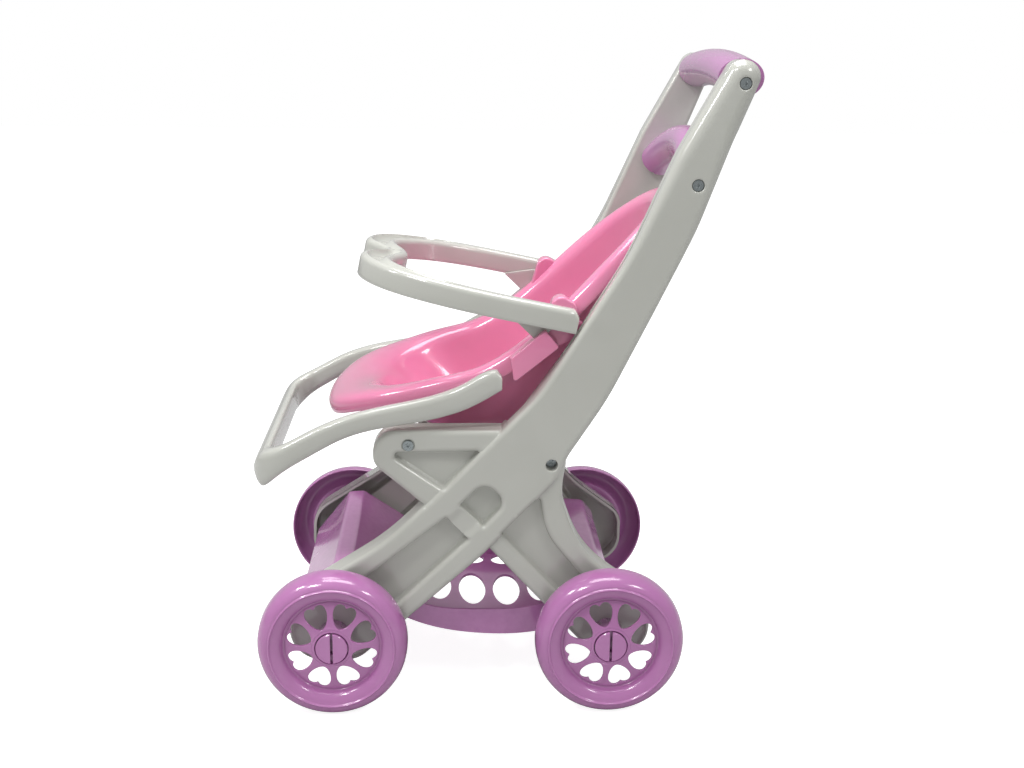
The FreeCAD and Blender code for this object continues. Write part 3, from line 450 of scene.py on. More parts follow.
def shell_points():
    """Sample points of the side view: iso-distance lines beside every edge, and a sparse fill."""
    groups = []
    for poly in (main_poly, second_poly):
        for distance in (0.5, 1.1, 1.9, 2.9, 4.2, 5.8, 8.0, 11.0):
            groups.append(moved_inwards(poly, distance))
    for distance in (1.0, 2.5, 4.0, 5.5, 7.0, 8.5):
        groups.append(moved_inwards(band_poly, distance))
    for poly in recess_polys:
        for distance in (-5.6, -5.0, -4.0, -3.0, -2.1, -1.3, -0.7, -0.25, 0.35, 0.7, 1.2, 1.8, 2.4,
                         5.0):
            groups.append(moved_inwards(poly, distance))
    for centre, _ in SCREW_HOLES:
        for radius in (4.9, 5.3, 5.9, 7.5):
            groups.append(circle_points(centre, radius))
    grid = np.stack(np.meshgrid(np.arange(-156, 232, 7.0), np.arange(36, 542, 7.0)), -1).reshape(-1, 2)
    groups.append(grid)
    return np.concatenate(groups)


def triangulated(polys, loose, constraints, keep):
    """Triangles that cover the union of the polygons, using the loose points that keep allows."""
    verts, faces, edges = [], [], []
    for poly in polys:
        start = len(verts)
        verts += [Vector(p) for p in poly]
        faces.append(list(range(start, len(verts))))
    for poly in constraints:
        start = len(verts)
        verts += [Vector(p) for p in poly]
        count = len(poly)
        edges += [(start + i, start + (i + 1) % count) for i in range(count)]
    verts += [Vector(p) for p in loose[keep]]
    out = delaunay_2d_cdt(verts, edges, faces, 1, 1e-3)
    return np.array([tuple(v) for v in out[0]]), [tuple(f) for f in out[2]]


def boundary_edges(triangles):
    """Directed edges that belong to one triangle only."""
    seen = {}
    for tri in triangles:
        for a, b in zip(tri, tri[1:] + tri[:1]):
            key = (min(a, b), max(a, b))
            seen.setdefault(key, []).append((a, b))
    return [pairs[0] for pairs in seen.values() if len(pairs) == 1]


def wall_foot(points):
    """Where the side wall ends: at the seam with the arm's cover, or at the open inner side."""
    return np.where(inside_distance(points, cover_poly) > -6.0, SEAM_X + 0.12, INNER_X)


COVER_REACH, COVER_FROM = 9.0, 268.0


def foot_plan(points):
    """The wall's lower edge in plan: where the arm's cover takes over, it meets the cover's outline."""
    moved = points.copy()
    ahead = np.roll(cover_poly, -1, axis=0)
    dense = np.concatenate([cover_poly * (1 - f) + ahead * f for f in (0, 0.25, 0.5, 0.75)])
    for i, at in enumerate(points):
        gaps = np.hypot(dense[:, 0] - at[0], dense[:, 1] - at[1])
        near = gaps.argmin()
        if gaps[near] < COVER_REACH and at[1] > COVER_FROM:
            moved[i] = dense[near]
    return moved


def shell_mesh():
    """The frame's skin with its wall, its inner side and the lip between the two."""
    loose = shell_points()
    union_in = np.maximum(inside_distance(loose, main_poly), inside_distance(loose, second_poly))
    holes = [circle_points(c, 5.05) for c, _ in SCREW_HOLES]
    plan, tris = triangulated([main_poly, second_poly], loose, recess_polys + holes,
                              union_in > 0.3)
    x = skin_height(plan)
    verts = [(h, y, z) for h, (y, z) in zip(x, plan)]
    faces = list(tris)
    rim = boundary_edges(tris)
    foot = wall_foot(plan)
    lean = foot_plan(plan)
    first = len(verts)
    order = {}
    for a, b in rim:
        for v in (a, b):
            if v not in order:
                order[v] = first + len(order) * 2
                verts.append((foot[v] + 0.6, *lean[v]))
                verts.append((foot[v], *(lean[v] * 0.998 + np.array((200.0, 500.0)) * 0.002)))
    for a, b in rim:
        faces.append((a, b, order[b], order[a]))
        faces.append((order[a], order[b], order[b] + 1, order[a] + 1))
    inner_polys = [moved_inwards(main_poly, WALL), moved_inwards(second_poly, WALL)]
    inner_in = np.maximum(inside_distance(loose, inner_polys[0]), inside_distance(loose, inner_polys[1]))
    plan_in, tris_in = triangulated(inner_polys, loose, recess_polys, inner_in > 0.3)
    x_in = skin_height(plan_in) - WALL
    start = len(verts)
    verts += [(h, y, z) for h, (y, z) in zip(x_in, plan_in)]
    faces += [tuple(start + i for i in reversed(tri)) for tri in tris_in]
    foot_in = wall_foot(plan_in)
    first = len(verts)
    order_in = {}
    rim_in = boundary_edges(tris_in)
    for a, b in rim_in:
        for v in (a, b):
            if v not in order_in:
                order_in[v] = first + len(order_in)
                verts.append((foot_in[v], *plan_in[v]))
    for a, b in rim_in:
        faces.append((start + b, start + a, order_in[a], order_in[b]))
    bridge_polys = [np.array([plan[v] for v in loop]) for loop in chained(rim)]
    hole_polys = [np.array([plan_in[v] for v in loop]) for loop in chained(rim_in)]
    outer = max(bridge_polys, key=lambda p: np.ptp(p[:, 1]))
    inner = max(hole_polys, key=lambda p: np.ptp(p[:, 1]))
    pts = [Vector(p) for p in outer] + [Vector(p) for p in inner]
    count = len(outer)
    lip = delaunay_2d_cdt(
        pts, [(count + i, count + (i + 1) % len(inner)) for i in range(len(inner))],
        [list(range(count))], 1, 1e-4)
    lip_pts = np.array([tuple(v) for v in lip[0]])
    centres = np.array([lip_pts[list(f)].mean(0) for f in lip[2]])
    ring = inside_distance(centres, inner) < 0
    start = len(verts)
    lip_x = wall_foot(lip_pts)
    verts += [(h, y, z) for h, (y, z) in zip(lip_x, lip_pts)]
    faces += [tuple(start + i for i in face) for face, keep in zip(lip[2], ring) if keep]
    return verts, faces


def chained(edges):
    """Closed loops of vertex numbers from directed edges."""
    after = {a: b for a, b in edges}
    loops = []
    while after:
        start, here = next(iter(after.items()))
        loop = [start]
        del after[start]
        while here != start and here in after:
            loop.append(here)
            here = after.pop(here)
        loops.append(loop)
    return loops


shell_verts, shell_faces = shell_mesh()
for side, sign in SIDES.items():
    mesh_verts = [place(sign * x, y, z) for x, y, z in shell_verts]
    new_piece(f"{side}_frame_skin", mesh_verts, shell_faces, GREY, "chassis",
              [f"{side}_frame_shell"], smooth_angle=50)


# ---------------------------------------------------------------- wheels

def heart_outline():
    """One heart with its point towards the hub, as (y, z) points."""
    right = spline([(0.0, 17.9), (2.8, 19.0), (6.9, 23.6), (9.2, 29.0), (9.4, 33.0), (7.4, 36.6),
                    (4.2, 37.5), (1.6, 36.6), (0.0, 35.2)], 40, first=(1.0, 0.0))
    left = right[::-1][1:-1] * np.array([-1, 1])
    return np.concatenate([right, left])


def disc_with_hearts(name, turn, radius, hub, thickness, bevel):
    """The wheel's web: a flat disc with a hub hole and eight hearts, all edges rounded."""
    data = bpy.data.curves.new(name, "CURVE")
    data.dimensions = "2D"
    data.fill_mode = "BOTH"
    loops = [circle_points((0, 0), radius, 96), circle_points((0, 0), hub, 48)]
    heart = heart_outline()
    for k in range(8):
        angle = turn + k * math.pi / 4
        spin = np.array([[math.cos(angle), math.sin(angle)], [-math.sin(angle), math.cos(angle)]])
        loops.append(heart @ spin)
    for pts in loops:
        path = data.splines.new("POLY")
        path.points.add(len(pts) - 1)
        for point, (u, v) in zip(path.points, pts):
            point.co = (u / 1000, v / 1000, 0, 1)
        path.use_cyclic_u = True
    data.extrude = thickness / 2000 - bevel / 1000
    data.bevel_depth = bevel / 1000
    data.bevel_resolution = 3
    data.offset = -bevel / 1000
    holder = bpy.data.objects.new(name + "_curve", data)
    mesh = bpy.data.meshes.new_from_object(holder)
    bpy.data.objects.remove(holder)
    bpy.data.curves.remove(data)
    return mesh


WHEEL_SECTION = [
    (-11.5, 61.9), (-11.2, 62.3), (-10.4, 62.5), (-6.0, 62.5), (-1.0, 62.2), (3.0, 61.1), (6.2, 59.3),
    (8.6, 57.0), (9.9, 54.8), (10.3, 53.6), (10.3, 53.1), (10.8, 52.7), (11.4, 52.4), (11.7, 51.9),
    (11.6, 51.4), (11.1, 51.0), (10.4, 50.6), (10.1, 50.0), (9.6, 48.2), (8.6, 45.8), (7.2, 43.8),
    (5.8, 42.5), (4.2, 41.8), (2.2, 41.4), (1.4, 41.0), (1.2, 40.5),
    (1.7, 38.9), (-0.5, 38.9), (-0.9, 40.0), (-0.2, 43.0), (3.4, 44.8), (6.0, 47.4), (7.9, 49.8),
    (8.0, 51.6), (6.8, 55.0), (4.0, 58.0), (0.0, 59.7), (-5.0, 60.3), (-9.0, 60.5), (-11.0, 60.9),
]
HUB_SECTION = [
    (7.5, 17.2), (8.1, 15.6), (8.4, 14.6), (8.2, 14.2), (7.6, 14.0), (4.5, 13.95), (4.5, 7.3), (-18.6, 7.3),
    (-18.9, 7.7), (-18.9, 13.0), (-18.2, 13.6), (4.6, 16.2), (5.4, 17.2),
]
WEB_RADII, WEB_RISE = (16.4, 39.2), 6.1
WEB_EDGE = (2.4, 0.5)                   # thickness and edge rounding
WEB_OFFSET, WEB_LIFT = 0.0003, 0.0006   # metres along X before and with the dome
LONGEST_WEB_EDGE = 0.0026


def turned(section, segments):
    """A ring's skin: the closed section of (x, radius) points turned about X."""
    rings = []
    for k in range(segments):
        angle = 2 * math.pi * k / segments
        rings.append([(x, r * math.cos(angle), r * math.sin(angle)) for x, r in section])
    return loft(rings, closed_along=True, cap=False)


HEART_TURNS = {"front_left": 24.5, "front_right": 9.0, "rear_left": 16.0, "rear_right": 30.0}
for name, degrees in HEART_TURNS.items():
    sign = 1 if name.endswith("left") else -1
    axle = node_centre(name + "_wheel")
    hub_place = Vector((sign * WHEEL_X, axle.y, axle.z))
    web = disc_with_hearts(name, math.radians(degrees), WEB_RADII[1], WEB_RADII[0], *WEB_EDGE)
    work = bmesh.new()
    work.from_mesh(web)
    bmesh.ops.transform(work, verts=work.verts, matrix=Matrix((
        (0, 0, 1, WEB_OFFSET), (1, 0, 0, 0), (0, 1, 0, 0), (0, 0, 0, 1))))
    long_edges = [edge for edge in work.edges if edge.calc_length() > LONGEST_WEB_EDGE]
    bmesh.ops.subdivide_edges(work, edges=long_edges, cuts=2, use_grid_fill=True)
    bmesh.ops.triangulate(work, faces=[face for face in work.faces if len(face.verts) > 4])
    for vert in work.verts:
        out = (WEB_RADII[1] - math.hypot(vert.co.y, vert.co.z) * 1000) / (WEB_RADII[1] - WEB_RADII[0])
        vert.co.x += WEB_RISE * min(max(out, 0), 1) / 1000 + WEB_LIFT
    for section, segments in ((WHEEL_SECTION, 128), (HUB_SECTION, 64)):
        verts, faces = turned(section, segments)
        made = [work.verts.new(Vector(v) / 1000) for v in verts]
        for face in faces:
            work.faces.new([made[i] for i in face])
    outward = Matrix.Diagonal((sign, 1, 1, 1))
    bmesh.ops.transform(work, verts=work.verts, matrix=Matrix.Translation(hub_place) @ outward)
    work.to_mesh(web)
    work.free()
    wheel = bpy.data.objects.new(name + "_moulded_wheel", web)
    bpy.context.scene.collection.objects.link(wheel)
    dress(wheel, LILAC, name + "_wheel_body", [name + "_wheel"], smooth_angle=42)


# ---------------------------------------------------------------- seat

TILT = math.radians(33.0)
RIM_TOP = [(-131, 243), (-108, 256), (-66, 269), (-30, 279), (4, 288), (40, 310), (62, 329), (108, 374),
           (142, 405), (171, 431)]
RIM_PLAN = [(0, 24), (48, 32), (82, 62), (99, 108), (101, 170), (98, 235), (86, 300), (56, 352), (0, 377)]
MOUTH_PLAN = [(0, 72), (34, 78), (60, 96), (75, 126), (79, 172), (76, 235), (63, 297), (39, 338), (0, 354)]
FLOOR_LINE = [(44, 250), (62, 240), (80, 219), (105, 197), (140, 181), (175, 175), (215, 181), (255, 192),
              (290, 204), (320, 219), (345, 236), (362, 252)]


def tilted(u, v, w):
    return place(u, v * math.cos(TILT) - w * math.sin(TILT), v * math.sin(TILT) + w * math.cos(TILT))


rim_vw = [(y * math.cos(TILT) + z * math.sin(TILT), -y * math.sin(TILT) + z * math.cos(TILT))
          for y, z in RIM_TOP]
rim_line = spline(rim_vw, 160)
floor_line = spline(FLOOR_LINE, 160)


def rim_w(v):
    return float(np.interp(v, rim_line[:, 0], rim_line[:, 1]))


def floor_w(v):
    return float(np.interp(v, floor_line[:, 0], floor_line[:, 1]))


def full_outline(half, count):
    right = spline(half, count, first=(1.0, 0.0), last=(-1.0, 0.0))
    left = right[::-1][1:-1] * np.array([-1, 1])
    return np.concatenate([right, left])


SEAT_COUNT = 72
rim_ring = full_outline(RIM_PLAN, SEAT_COUNT)
mouth_ring = full_outline(MOUTH_PLAN, SEAT_COUNT)


def blend_points(a, b, s):
    return a * (1 - s) + b * s


def seat_mesh():
    """The bowl's upper skin from the rim down to the floor line, and its under skin."""
    spine = np.stack([np.zeros(len(mouth_ring)), np.clip(mouth_ring[:, 1], 128, 300)], 1)
    rings = []
    for s, drop in ((0.10, 15.0), (0.02, 15.0), (-0.02, 14.0), (-0.02, 11.0), (0.0, 7.5), (0.03, 4.6),
                    (0.09, 2.3), (0.18, 0.8), (0.30, 0.05), (0.44, 0.0), (0.58, 0.5), (0.70, 1.5),
                    (0.81, 3.2), (0.90, 5.6), (0.96, 8.6), (1.0, 12.5)):
        plan = blend_points(rim_ring, mouth_ring, s)
        rings.append([tilted(u, v, rim_w(min(max(v, 24), 377)) - drop) for u, v in plan])
    for t in (0.015, 0.035, 0.06, 0.09, 0.13, 0.18, 0.24, 0.31, 0.40, 0.52, 0.66, 0.82, 1.0):
        plan = blend_points(mouth_ring, spine, t)
        rise = (1 - min(t / 0.28, 1)) ** 2.6
        rings.append([tilted(u, v, floor_w(v) + (rim_w(v) - 12.5 - floor_w(v)) * rise) for u, v in plan])
    under = []
    for s, drop in ((0.10, 12.0), (0.14, 4.2), (0.24, 3.2), (0.50, 3.2), (0.72, 4.6), (0.86, 8.5)):
        plan = blend_points(rim_ring, mouth_ring, s)
        under.append([tilted(u, v, rim_w(min(max(v, 24), 377)) - drop) for u, v in plan])
    for t in (-0.035, -0.02, 0.0, 0.03, 0.07, 0.12, 0.18, 0.26, 0.36, 0.5, 0.7, 1.0):
        plan = blend_points(mouth_ring, spine, t)
        rise = (1 - min(max(t + 0.04, 0) / 0.31, 1)) ** 2.4
        under.append([tilted(u, v, floor_w(v) - 3.0 + (rim_w(v) - 12.0 - floor_w(v)) * rise)
                      for u, v in plan])
    verts, faces = loft(rings, cap=False)
    more, more_faces = loft(under, cap=False)
    offset = len(verts)
    count = len(rim_ring)
    verts += more
    faces += [tuple(offset + i for i in reversed(face)) for face in more_faces]
    faces += [(j, offset + j, offset + (j + 1) % count, (j + 1) % count) for j in range(count)]
    return verts, faces


seat_verts, seat_faces = seat_mesh()
seat = new_piece("seat_bowl", seat_verts, seat_faces, PINK, "chassis", ["seat_shell"], 60)
smooth = seat.modifiers.new("smooth", "SUBSURF")
smooth.levels = 1
smooth.render_levels = 2


SIDE_VIEW = Matrix(((0, 0, 1, 0), (1, 0, 0, 0), (0, 1, 0, 0), (0, 0, 0, 1)))


def block(name, outline, x_low, x_high, bevel, mat, slot, body, replaced=()):
    """A moulded block across X from a rounded side outline, with its edges rounded over."""
    data = bpy.data.curves.new(name, "CURVE")
    data.dimensions = "2D"
    data.fill_mode = "BOTH"
    pts = rounded_outline(outline, 1.5)
    path = data.splines.new("POLY")
    path.points.add(len(pts) - 1)
    for point, (u, v) in zip(path.points, pts):
        point.co = (u / 1000, v / 1000, 0, 1)
    path.use_cyclic_u = True
    data.extrude = (x_high - x_low) / 2000 - bevel / 1000
    data.bevel_depth = bevel / 1000
    data.bevel_resolution = 4
    data.offset = -bevel / 1000
    holder = bpy.data.objects.new(name + "_curve", data)
    mesh = bpy.data.meshes.new_from_object(holder)
    bpy.data.objects.remove(holder)
    bpy.data.curves.remove(data)
    shift = Vector(((x_low + x_high) / 2000, MIDDLE_Y, 0))
    mesh.transform(Matrix.Translation(shift) @ SIDE_VIEW)
    obj = bpy.data.objects.new(name, mesh)
    bpy.context.scene.collection.objects.link(obj)
    return dress(obj, mat, body, replaced)


BRACKET = [(31.0, 300.0, 2), (34.0, 280.0, 2), (70.5, 309.5, 2), (59.0, 324.0, 2)]
BRACKET_REAR = [(58.0, 323.0, 2), (69.5, 308.0, 2), (82.0, 313.0, 2), (92.0, 327.0, 3), (80.0, 334.0, 3)]
PIVOT_BOSS = [(58.0, 322.0, 3), (84.0, 318.0, 3), (86.0, 343.0, 9), (67.0, 354.0, 9)]
SEAT_BLOCKS = {
    "seat_bracket": (BRACKET, (88, 111), 1.4),
    "seat_hook": (BRACKET_REAR, (84, 100.8), 1.2),
    "pivot_boss": (PIVOT_BOSS, (84, 100.8), 2.0),
}
for side, sign in SIDES.items():
    for block_name, (outline, reach, bevel) in SEAT_BLOCKS.items():
        low, high = sorted(sign * x for x in reach)
        block(f"{side}_{block_name}", outline, low, high, bevel, PINK, "pink_plastic", "chassis")


# ---------------------------------------------------------------- bumper bar

BUMPER_OUTER = [(116, 84), (116, 20), (107, -38), (84, -80), (52, -98), (24, -96), (0, -81)]
BUMPER_INNER = [(102, 84), (102, 22), (92, -28), (70, -60), (46, -72), (22, -66), (0, -60)]
BUMPER_TILT = math.radians(-11.3)
BUMPER_BASE = (83.2, 322.0)
BUMPER_HEIGHT = 19.0
BUMPER_AXIS = (70.0, 331.5)
GROOVE_FROM, GROOVE_SPREAD, GROOVE_DEPTH = 0.36, 2.4975, 5.6


def bumper_point(u, v, w):
    y = (v - 84) * math.cos(BUMPER_TILT) - w * math.sin(BUMPER_TILT) + BUMPER_BASE[0]
    z = (v - 84) * math.sin(BUMPER_TILT) + w * math.cos(BUMPER_TILT) + BUMPER_BASE[1]
    return place(u, y, z)


def matched(points, count_between):
    """Spline points with the same number of samples between every pair of knots."""
    data = np.array(points, float)
    t = np.concatenate([[0], np.cumsum(np.linalg.norm(np.diff(data, axis=0), axis=1))])
    slopes = cubic_slopes(t, data, (0, -1), (-1, 0))
    spans = [np.linspace(a, b, count_between, endpoint=False) for a, b in zip(t, t[1:])]
    at = np.concatenate(spans + [[t[-1]]])
    return hermite(t, data, slopes, at)


def bumper_section(outer, inner, lobe, end):
    """The band's cross-section: rounded top with the lobe's groove, and an open channel below."""
    across = outer - inner
    width = float(np.linalg.norm(across))
    across = across / width
    top = BUMPER_HEIGHT - 5.0 * end
    r = min(5.0, width * 0.36)
    profile = [(0.0, 0.8), (0.0, 3.0), (0.0, top - r)]
    for k in range(1, 5):
        angle = math.pi / 2 * k / 4
        profile.append((r - r * math.cos(angle), top - r + r * math.sin(angle)))
    groove = GROOVE_DEPTH * lobe
    for f, g in ((0.40, 0.10), (0.47, 0.55), (0.54, 0.95), (0.60, 1.0), (0.66, 0.9), (0.72, 0.45)):
        u = r + (width - 2 * r) * (f - GROOVE_FROM) * GROOVE_SPREAD
        profile.append((u, top - groove * g))
    for k in range(0, 5):
        angle = math.pi / 2 * (1 - k / 4)
        profile.append((width - r + r * math.cos(angle), top - r + r * math.sin(angle)))
    profile += [(width, 3.0), (width, 0.8), (width - 0.6, 0.0), (width - 3.0, 0.0), (width - 3.2, 8.0),
                (3.2, 8.0), (3.0, 0.0), (0.6, 0.0)]
    return [bumper_point(*(inner + across * u), w) for u, w in profile]


outer_half = matched(BUMPER_OUTER, 14)
inner_half = matched(BUMPER_INNER, 14)
outer_line = np.concatenate([outer_half, outer_half[::-1][1:] * np.array([-1, 1])])
inner_line = np.concatenate([inner_half, inner_half[::-1][1:] * np.array([-1, 1])])
bumper_rings = []
for outer, inner in zip(outer_line, inner_line):
    lobe = max(0.0, min(1.0, (-outer[1] - 20) / 35)) * min(1.0, abs(outer[0]) / 12)
    end = max(0.0, 1 - (84 - outer[1]) / 5) ** 2
    bumper_rings.append(bumper_section(outer, inner, lobe, end))
verts, faces = loft(bumper_rings)
new_piece("bumper_loop", verts, faces, GREY, "bumper", ["bumper_bar"], 50)
GUSSET = [(33.0, 332.0, 1), (55.0, 311.0, 1.5), (66.0, 326.0, 1), (64.0, 336.0, 1)]
for side, sign in SIDES.items():
    block(f"{side}_bumper_gusset", GUSSET, *sorted((sign * 100.9, sign * 103.7)), 0.6, GREY,
          "grey_plastic", "bumper")
    rings = []
    for x, r in ((92.0, 4.4), (92.6, 5.0), (104.0, 5.0)):
        rings.append([place(sign * x, y, z) for y, z in circle_points(BUMPER_AXIS, r, 32)])
    verts, faces = loft(rings)
    new_piece(f"{side}_bumper_trunnion", verts, faces, GREY, "bumper")


# ---------------------------------------------------------------- footrest

FOOT_TOP = [(27.0, 291.0), (18.0, 291.4), (-4.0, 281.0), (-49.0, 266.0), (-102.0, 254.5), (-126.0, 245.0),
            (-160.0, 227.5), (-172.0, 221.5), (-178.0, 215.5), (-181.5, 208.0)]
FOOT_BOTTOM = [(27.0, 277.0), (-8.0, 257.5), (-58.0, 246.5), (-104.0, 236.5), (-136.0, 219.5),
               (-163.0, 200.5), (-174.0, 193.0), (-181.5, 202.0)]
FOOT_FLARE = 10.0
foot_top = spline(FOOT_TOP, 120)[::-1]
foot_bottom = spline(FOOT_BOTTOM, 120)[::-1]


def foot_heights(y):
    return (float(np.interp(y, foot_bottom[:, 0], foot_bottom[:, 1])),
            float(np.interp(y, foot_top[:, 0], foot_top[:, 1])))


FOOT_HALF_WIDTH, FOOT_RAIL = 118.0, 13.0
FOOT_CORNER, FOOT_INNER_CORNER = (98.0, -151.5), (95.0, -146.0)     # centres of the front corners
FOOT_FRONT, FOOT_FRONT_INNER = -181.0, -166.0


def foot_path():
    """Outer and inner plan points of the footrest's loop from the left rear end round to the right."""
    outer, inner = [], []
    for y in np.linspace(24, FOOT_CORNER[1], 45):
        side = FOOT_HALF_WIDTH + FOOT_FLARE * min(max((-20 - y) / 100, 0), 1)
        outer.append((side, y))
        inner.append((side - FOOT_RAIL, max(y, FOOT_INNER_CORNER[1])))
    for k in range(1, 15):
        c, s = math.cos(math.pi / 2 * k / 14), math.sin(math.pi / 2 * k / 14)
        outer.append((FOOT_CORNER[0] + 30 * c, FOOT_CORNER[1] - 29.5 * s))
        inner.append((FOOT_INNER_CORNER[0] + 20 * c, FOOT_INNER_CORNER[1] - 20 * s))
    for x in np.linspace(92, 0, 14)[:-1]:
        outer.append((x, FOOT_FRONT))
        inner.append((x, FOOT_FRONT_INNER))
    whole_outer = outer + [(-x, y) for x, y in reversed(outer)]
    whole_inner = inner + [(-x, y) for x, y in reversed(inner)]
    return whole_outer, whole_inner


def foot_section(outer, inner, end):
    """A rounded rectangle between the two plan points, following the side view's heights."""
    o = np.array(outer)
    i = np.array(inner)
    pts = []
    shape = [(0.0, 0.28), (0.0, 0.5), (0.0, 0.72), (0.045, 0.86), (0.13, 0.955), (0.27, 1.0),
             (0.5, 1.0), (0.73, 1.0), (0.87, 0.955), (0.955, 0.86), (1.0, 0.72), (1.0, 0.5), (1.0, 0.28),
             (0.95, 0.10), (0.85, 0.02), (0.72, 0.0), (0.5, 0.0), (0.28, 0.0), (0.15, 0.02), (0.05, 0.10)]
    for s, f in shape:
        x, y = o * (1 - s) + i * s
        low, high = foot_heights(y)
        high -= end * 5
        pts.append(place(x, y, low + (high - low) * f))
    return pts


rings = []
path_outer, path_inner = foot_path()
for outer, inner in zip(path_outer, path_inner):
    rear = max(0.0, (outer[1] - 19) / 5) ** 2
    rings.append(foot_section(outer, inner, rear))
verts, faces = loft(rings)
new_piece("footrest_moulding", verts, faces, GREY, "chassis", ["footrest_loop"], 55)


# ---------------------------------------------------------------- handle and crossbar

def bar(name, centre, up_axis, rise, half_up, half_through, replaced):
    """Two half mouldings that meet in a seam along the arms' plane."""
    rings = []
    end_x = 94.0
    radius = (end_x**2 + rise**2) / (2 * rise)
    for k in range(61):
        x = end_x - 2 * end_x * k / 60
        lift = math.sqrt(radius**2 - x**2) - (radius - rise)
        slope = -x / math.sqrt(radius**2 - x**2)
        tangent = Vector((1, slope * up_axis[0], slope * up_axis[1])).normalized()
        forward = Vector((0, -up_axis[1], up_axis[0]))
        up = tangent.cross(forward) * -1
        if up.z < 0:
            up = -up
        mid = np.array(centre) + np.array(up_axis) * lift
        ring = []
        for a in range(72):
            angle = 2 * math.pi * a / 72
            groove = 0.6 if a in (18, 54) else 0.0
            point = (Vector((x, mid[0], mid[1])) + forward * ((half_through - groove) * math.cos(angle))
                     + up * ((half_up - groove) * math.sin(angle)))
            ring.append(place(*point))
        rings.append(ring)
    verts, faces = loft(rings)
    return new_piece(name, verts, faces, LILAC, "chassis", replaced, 60)


bar("handle_moulding", (210.5, 524.0), (0.0, 1.0), 5.0, 15.5, 18.5,
    ["handle_front_half", "handle_rear_half"])
bar("crossbar_moulding", (176.2, 441.4), (0.42, 0.9075), 26.0, 15.0, 16.5,
    ["crossbar_front_half", "crossbar_rear_half"])


# ---------------------------------------------------------------- screws

SCREW_HEADS = {
    "handle_screws": ((209.4, 521.0), 117.0, 4.0),
    "crossbar_screws": ((176.2, 442.4), 117.0, 4.0),
    "lug_screws": ((-52.5, 228.5), 117.0, 4.0),
}


def screw_head_mesh(radius):
    """A pan head seen from above: a dished rim and a cross recess, as (height, y, z) points."""
    arm, half = radius * 0.62, radius * 0.15
    quarter = np.array([(arm, -half), (arm, half), (half, half)])
    turns = [np.array(((c, -s), (s, c))) for c, s in ((1, 0), (0, 1), (-1, 0), (0, -1))]
    cross = np.concatenate([quarter @ turn.T for turn in turns])
    inner = moved_inwards(cross, radius * 0.05)
    rim = circle_points((0, 0), radius, 36)
    loose = np.concatenate([circle_points((0, 0), radius * f, 30) for f in (0.96, 0.88, 0.76)])
    plan, tris = triangulated([rim], loose, [cross, inner], np.ones(len(loose), bool))
    away = np.hypot(plan[:, 0], plan[:, 1]) / radius
    deep = np.clip(inside_distance(plan, cross) / (radius * 0.04), 0, 1)
    height = radius * (0.34 * np.sqrt(np.maximum(1 - away**2, 0)) - 0.42 * deep)
    return height, plan, tris


for screw_node, (at, base_x, radius) in SCREW_HEADS.items():
    height, plan, tris = screw_head_mesh(radius)
    for side, sign in SIDES.items():
        verts = [place(sign * (base_x + h), at[0] + y, at[1] + z) for h, (y, z) in zip(height, plan)]
        new_piece(f"{side}_{screw_node}_head", verts, tris, STEEL, "chassis")


# ---------------------------------------------------------------- carried-over frame nodes

for name, obj in nodes.items():
    if obj.hide_render:
        continue
    slot_name = next(s["material_slot"] for s in frame["record"]["subparts"] if s["node"] == name)
    obj.data.materials.clear()
    obj.data.materials.append(SLOTS[slot_name])

for name in ("left_arm_cover", "right_arm_cover", "front_crossmember", "rear_crossmember", "basket"):
    rounding = nodes[name].modifiers.new("edge", "BEVEL")
    rounding.width = 0.0008
    rounding.segments = 2
    rounding.limit_method = "ANGLE"
    rounding.angle_limit = math.radians(40)


# ---------------------------------------------------------------- stage, light and camera

scene = bpy.context.scene
floor_mesh = bpy.data.meshes.new("floor")
floor_mesh.from_pydata([(-6, -6, 0), (6, -6, 0), (6, 6, 0), (-6, 6, 0)], [], [(0, 1, 2, 3)])
floor = bpy.data.objects.new("floor", floor_mesh)
scene.collection.objects.link(floor)
floor_mat = bpy.data.materials.new("pale_floor")
floor_mat.use_nodes = True
floor_tree = floor_mat.node_tree
floor_shader = floor_tree.nodes["Principled BSDF"]
floor_shader.inputs["Base Color"].default_value = (0.5, 0.5, 0.5, 1)
floor_shader.inputs["Roughness"].default_value = 0.9
floor_shader.inputs["Specular IOR Level"].default_value = 0.1
floor_shader.inputs["Emission Color"].default_value = (1, 1, 1, 1)
floor_path = floor_tree.nodes.new("ShaderNodeLightPath")
floor_glow = floor_tree.nodes.new("ShaderNodeMath")
floor_glow.operation = "MULTIPLY"
floor_glow.inputs[1].default_value = 0.88
floor_tree.links.new(floor_path.outputs["Is Camera Ray"], floor_glow.inputs[0])
floor_tree.links.new(floor_glow.outputs[0], floor_shader.inputs["Emission Strength"])
floor_mesh.materials.append(floor_mat)

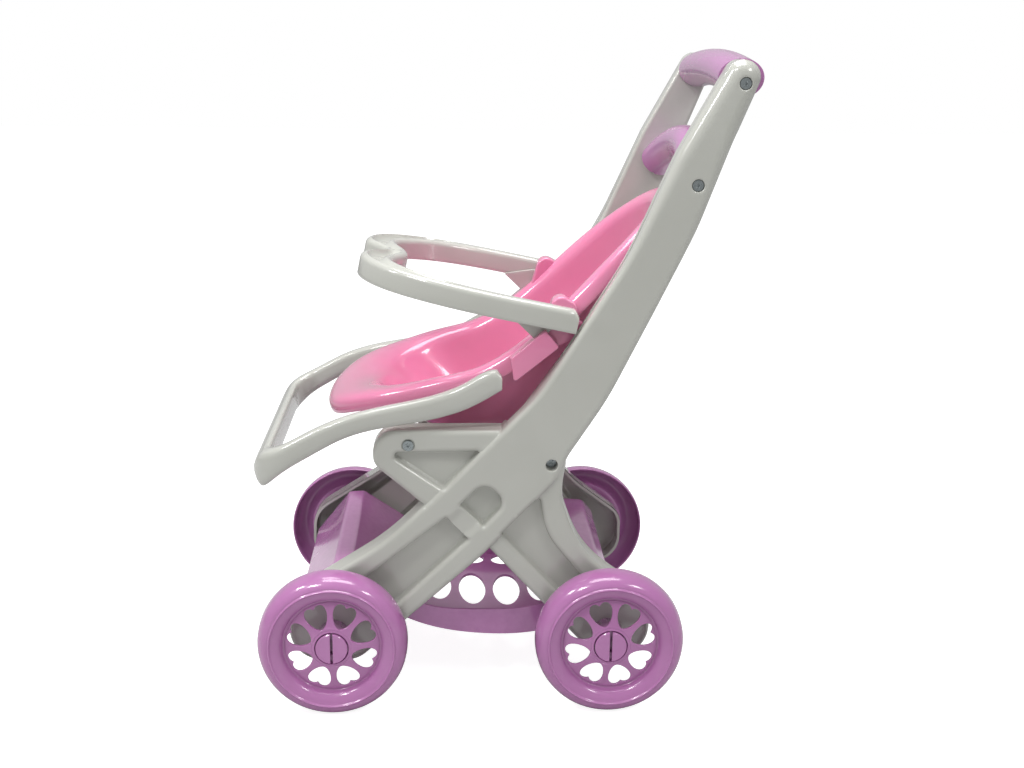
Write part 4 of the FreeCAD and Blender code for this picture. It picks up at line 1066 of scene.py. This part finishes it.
world = bpy.data.worlds.new("studio")
world.use_nodes = True
world.node_tree.nodes["Background"].inputs["Color"].default_value = (1, 1, 1, 1)
world_path = world.node_tree.nodes.new("ShaderNodeLightPath")
world_range = world.node_tree.nodes.new("ShaderNodeMapRange")
world_range.inputs["To Min"].default_value = 0.50
world_range.inputs["To Max"].default_value = 1.0
sky = world.node_tree.nodes["Background"]
world.node_tree.links.new(world_path.outputs["Is Camera Ray"], world_range.inputs["Value"])
world.node_tree.links.new(world_range.outputs["Result"], sky.inputs["Strength"])
scene.world = world


def area_light(name, location, target, size, size_y, power):
    data = bpy.data.lights.new(name, "AREA")
    data.shape = "RECTANGLE"
    data.size = size
    data.size_y = size_y
    data.energy = power
    lamp = bpy.data.objects.new(name, data)
    scene.collection.objects.link(lamp)
    lamp.location = location
    lamp.rotation_mode = "QUATERNION"
    lamp.rotation_quaternion = (Vector(target) - Vector(location)).to_track_quat("-Z", "Y")
    return lamp


lights = [
    area_light("key", (1.1, -1.0, 1.9), (0, 0, 0.3), 0.5, 0.3, 13),
    area_light("fill", (1.2, 1.2, 1.6), (0, 0, 0.3), 0.5, 0.3, 7),
    area_light("top", (-0.1, 0.0, 2.0), (0, 0, 0.2), 1.2, 1.2, 31),
    area_light("streak", (0.4, -1.4, 1.6), (0, 0, 0.3), 0.3, 0.3, 8),
]

CAMERA_PITCH = math.radians(15.10)
CAMERA_YAW = math.radians(2.69)
CAMERA_ROLL = math.radians(0.75)
look = Vector((-math.cos(CAMERA_PITCH) * math.cos(CAMERA_YAW), math.cos(CAMERA_PITCH) * math.sin(CAMERA_YAW),
               -math.sin(CAMERA_PITCH)))
right = look.cross(Vector((0, 0, 1))).normalized()
up = right.cross(look)
right, up = (right * math.cos(CAMERA_ROLL) + up * math.sin(CAMERA_ROLL),
             up * math.cos(CAMERA_ROLL) - right * math.sin(CAMERA_ROLL))
camera_data = bpy.data.cameras.new("camera")
camera_data.lens = 47.54
camera_data.sensor_width = 36.0
camera = bpy.data.objects.new("camera", camera_data)
scene.collection.objects.link(camera)
camera.matrix_world = Matrix((
    (right.x, up.x, -look.x, 1.1752), (right.y, up.y, -look.y, MIDDLE_Y - 0.0177),
    (right.z, up.z, -look.z, 0.5667), (0, 0, 0, 1)))
scene.camera = camera
scene.view_settings.view_transform = "Standard"
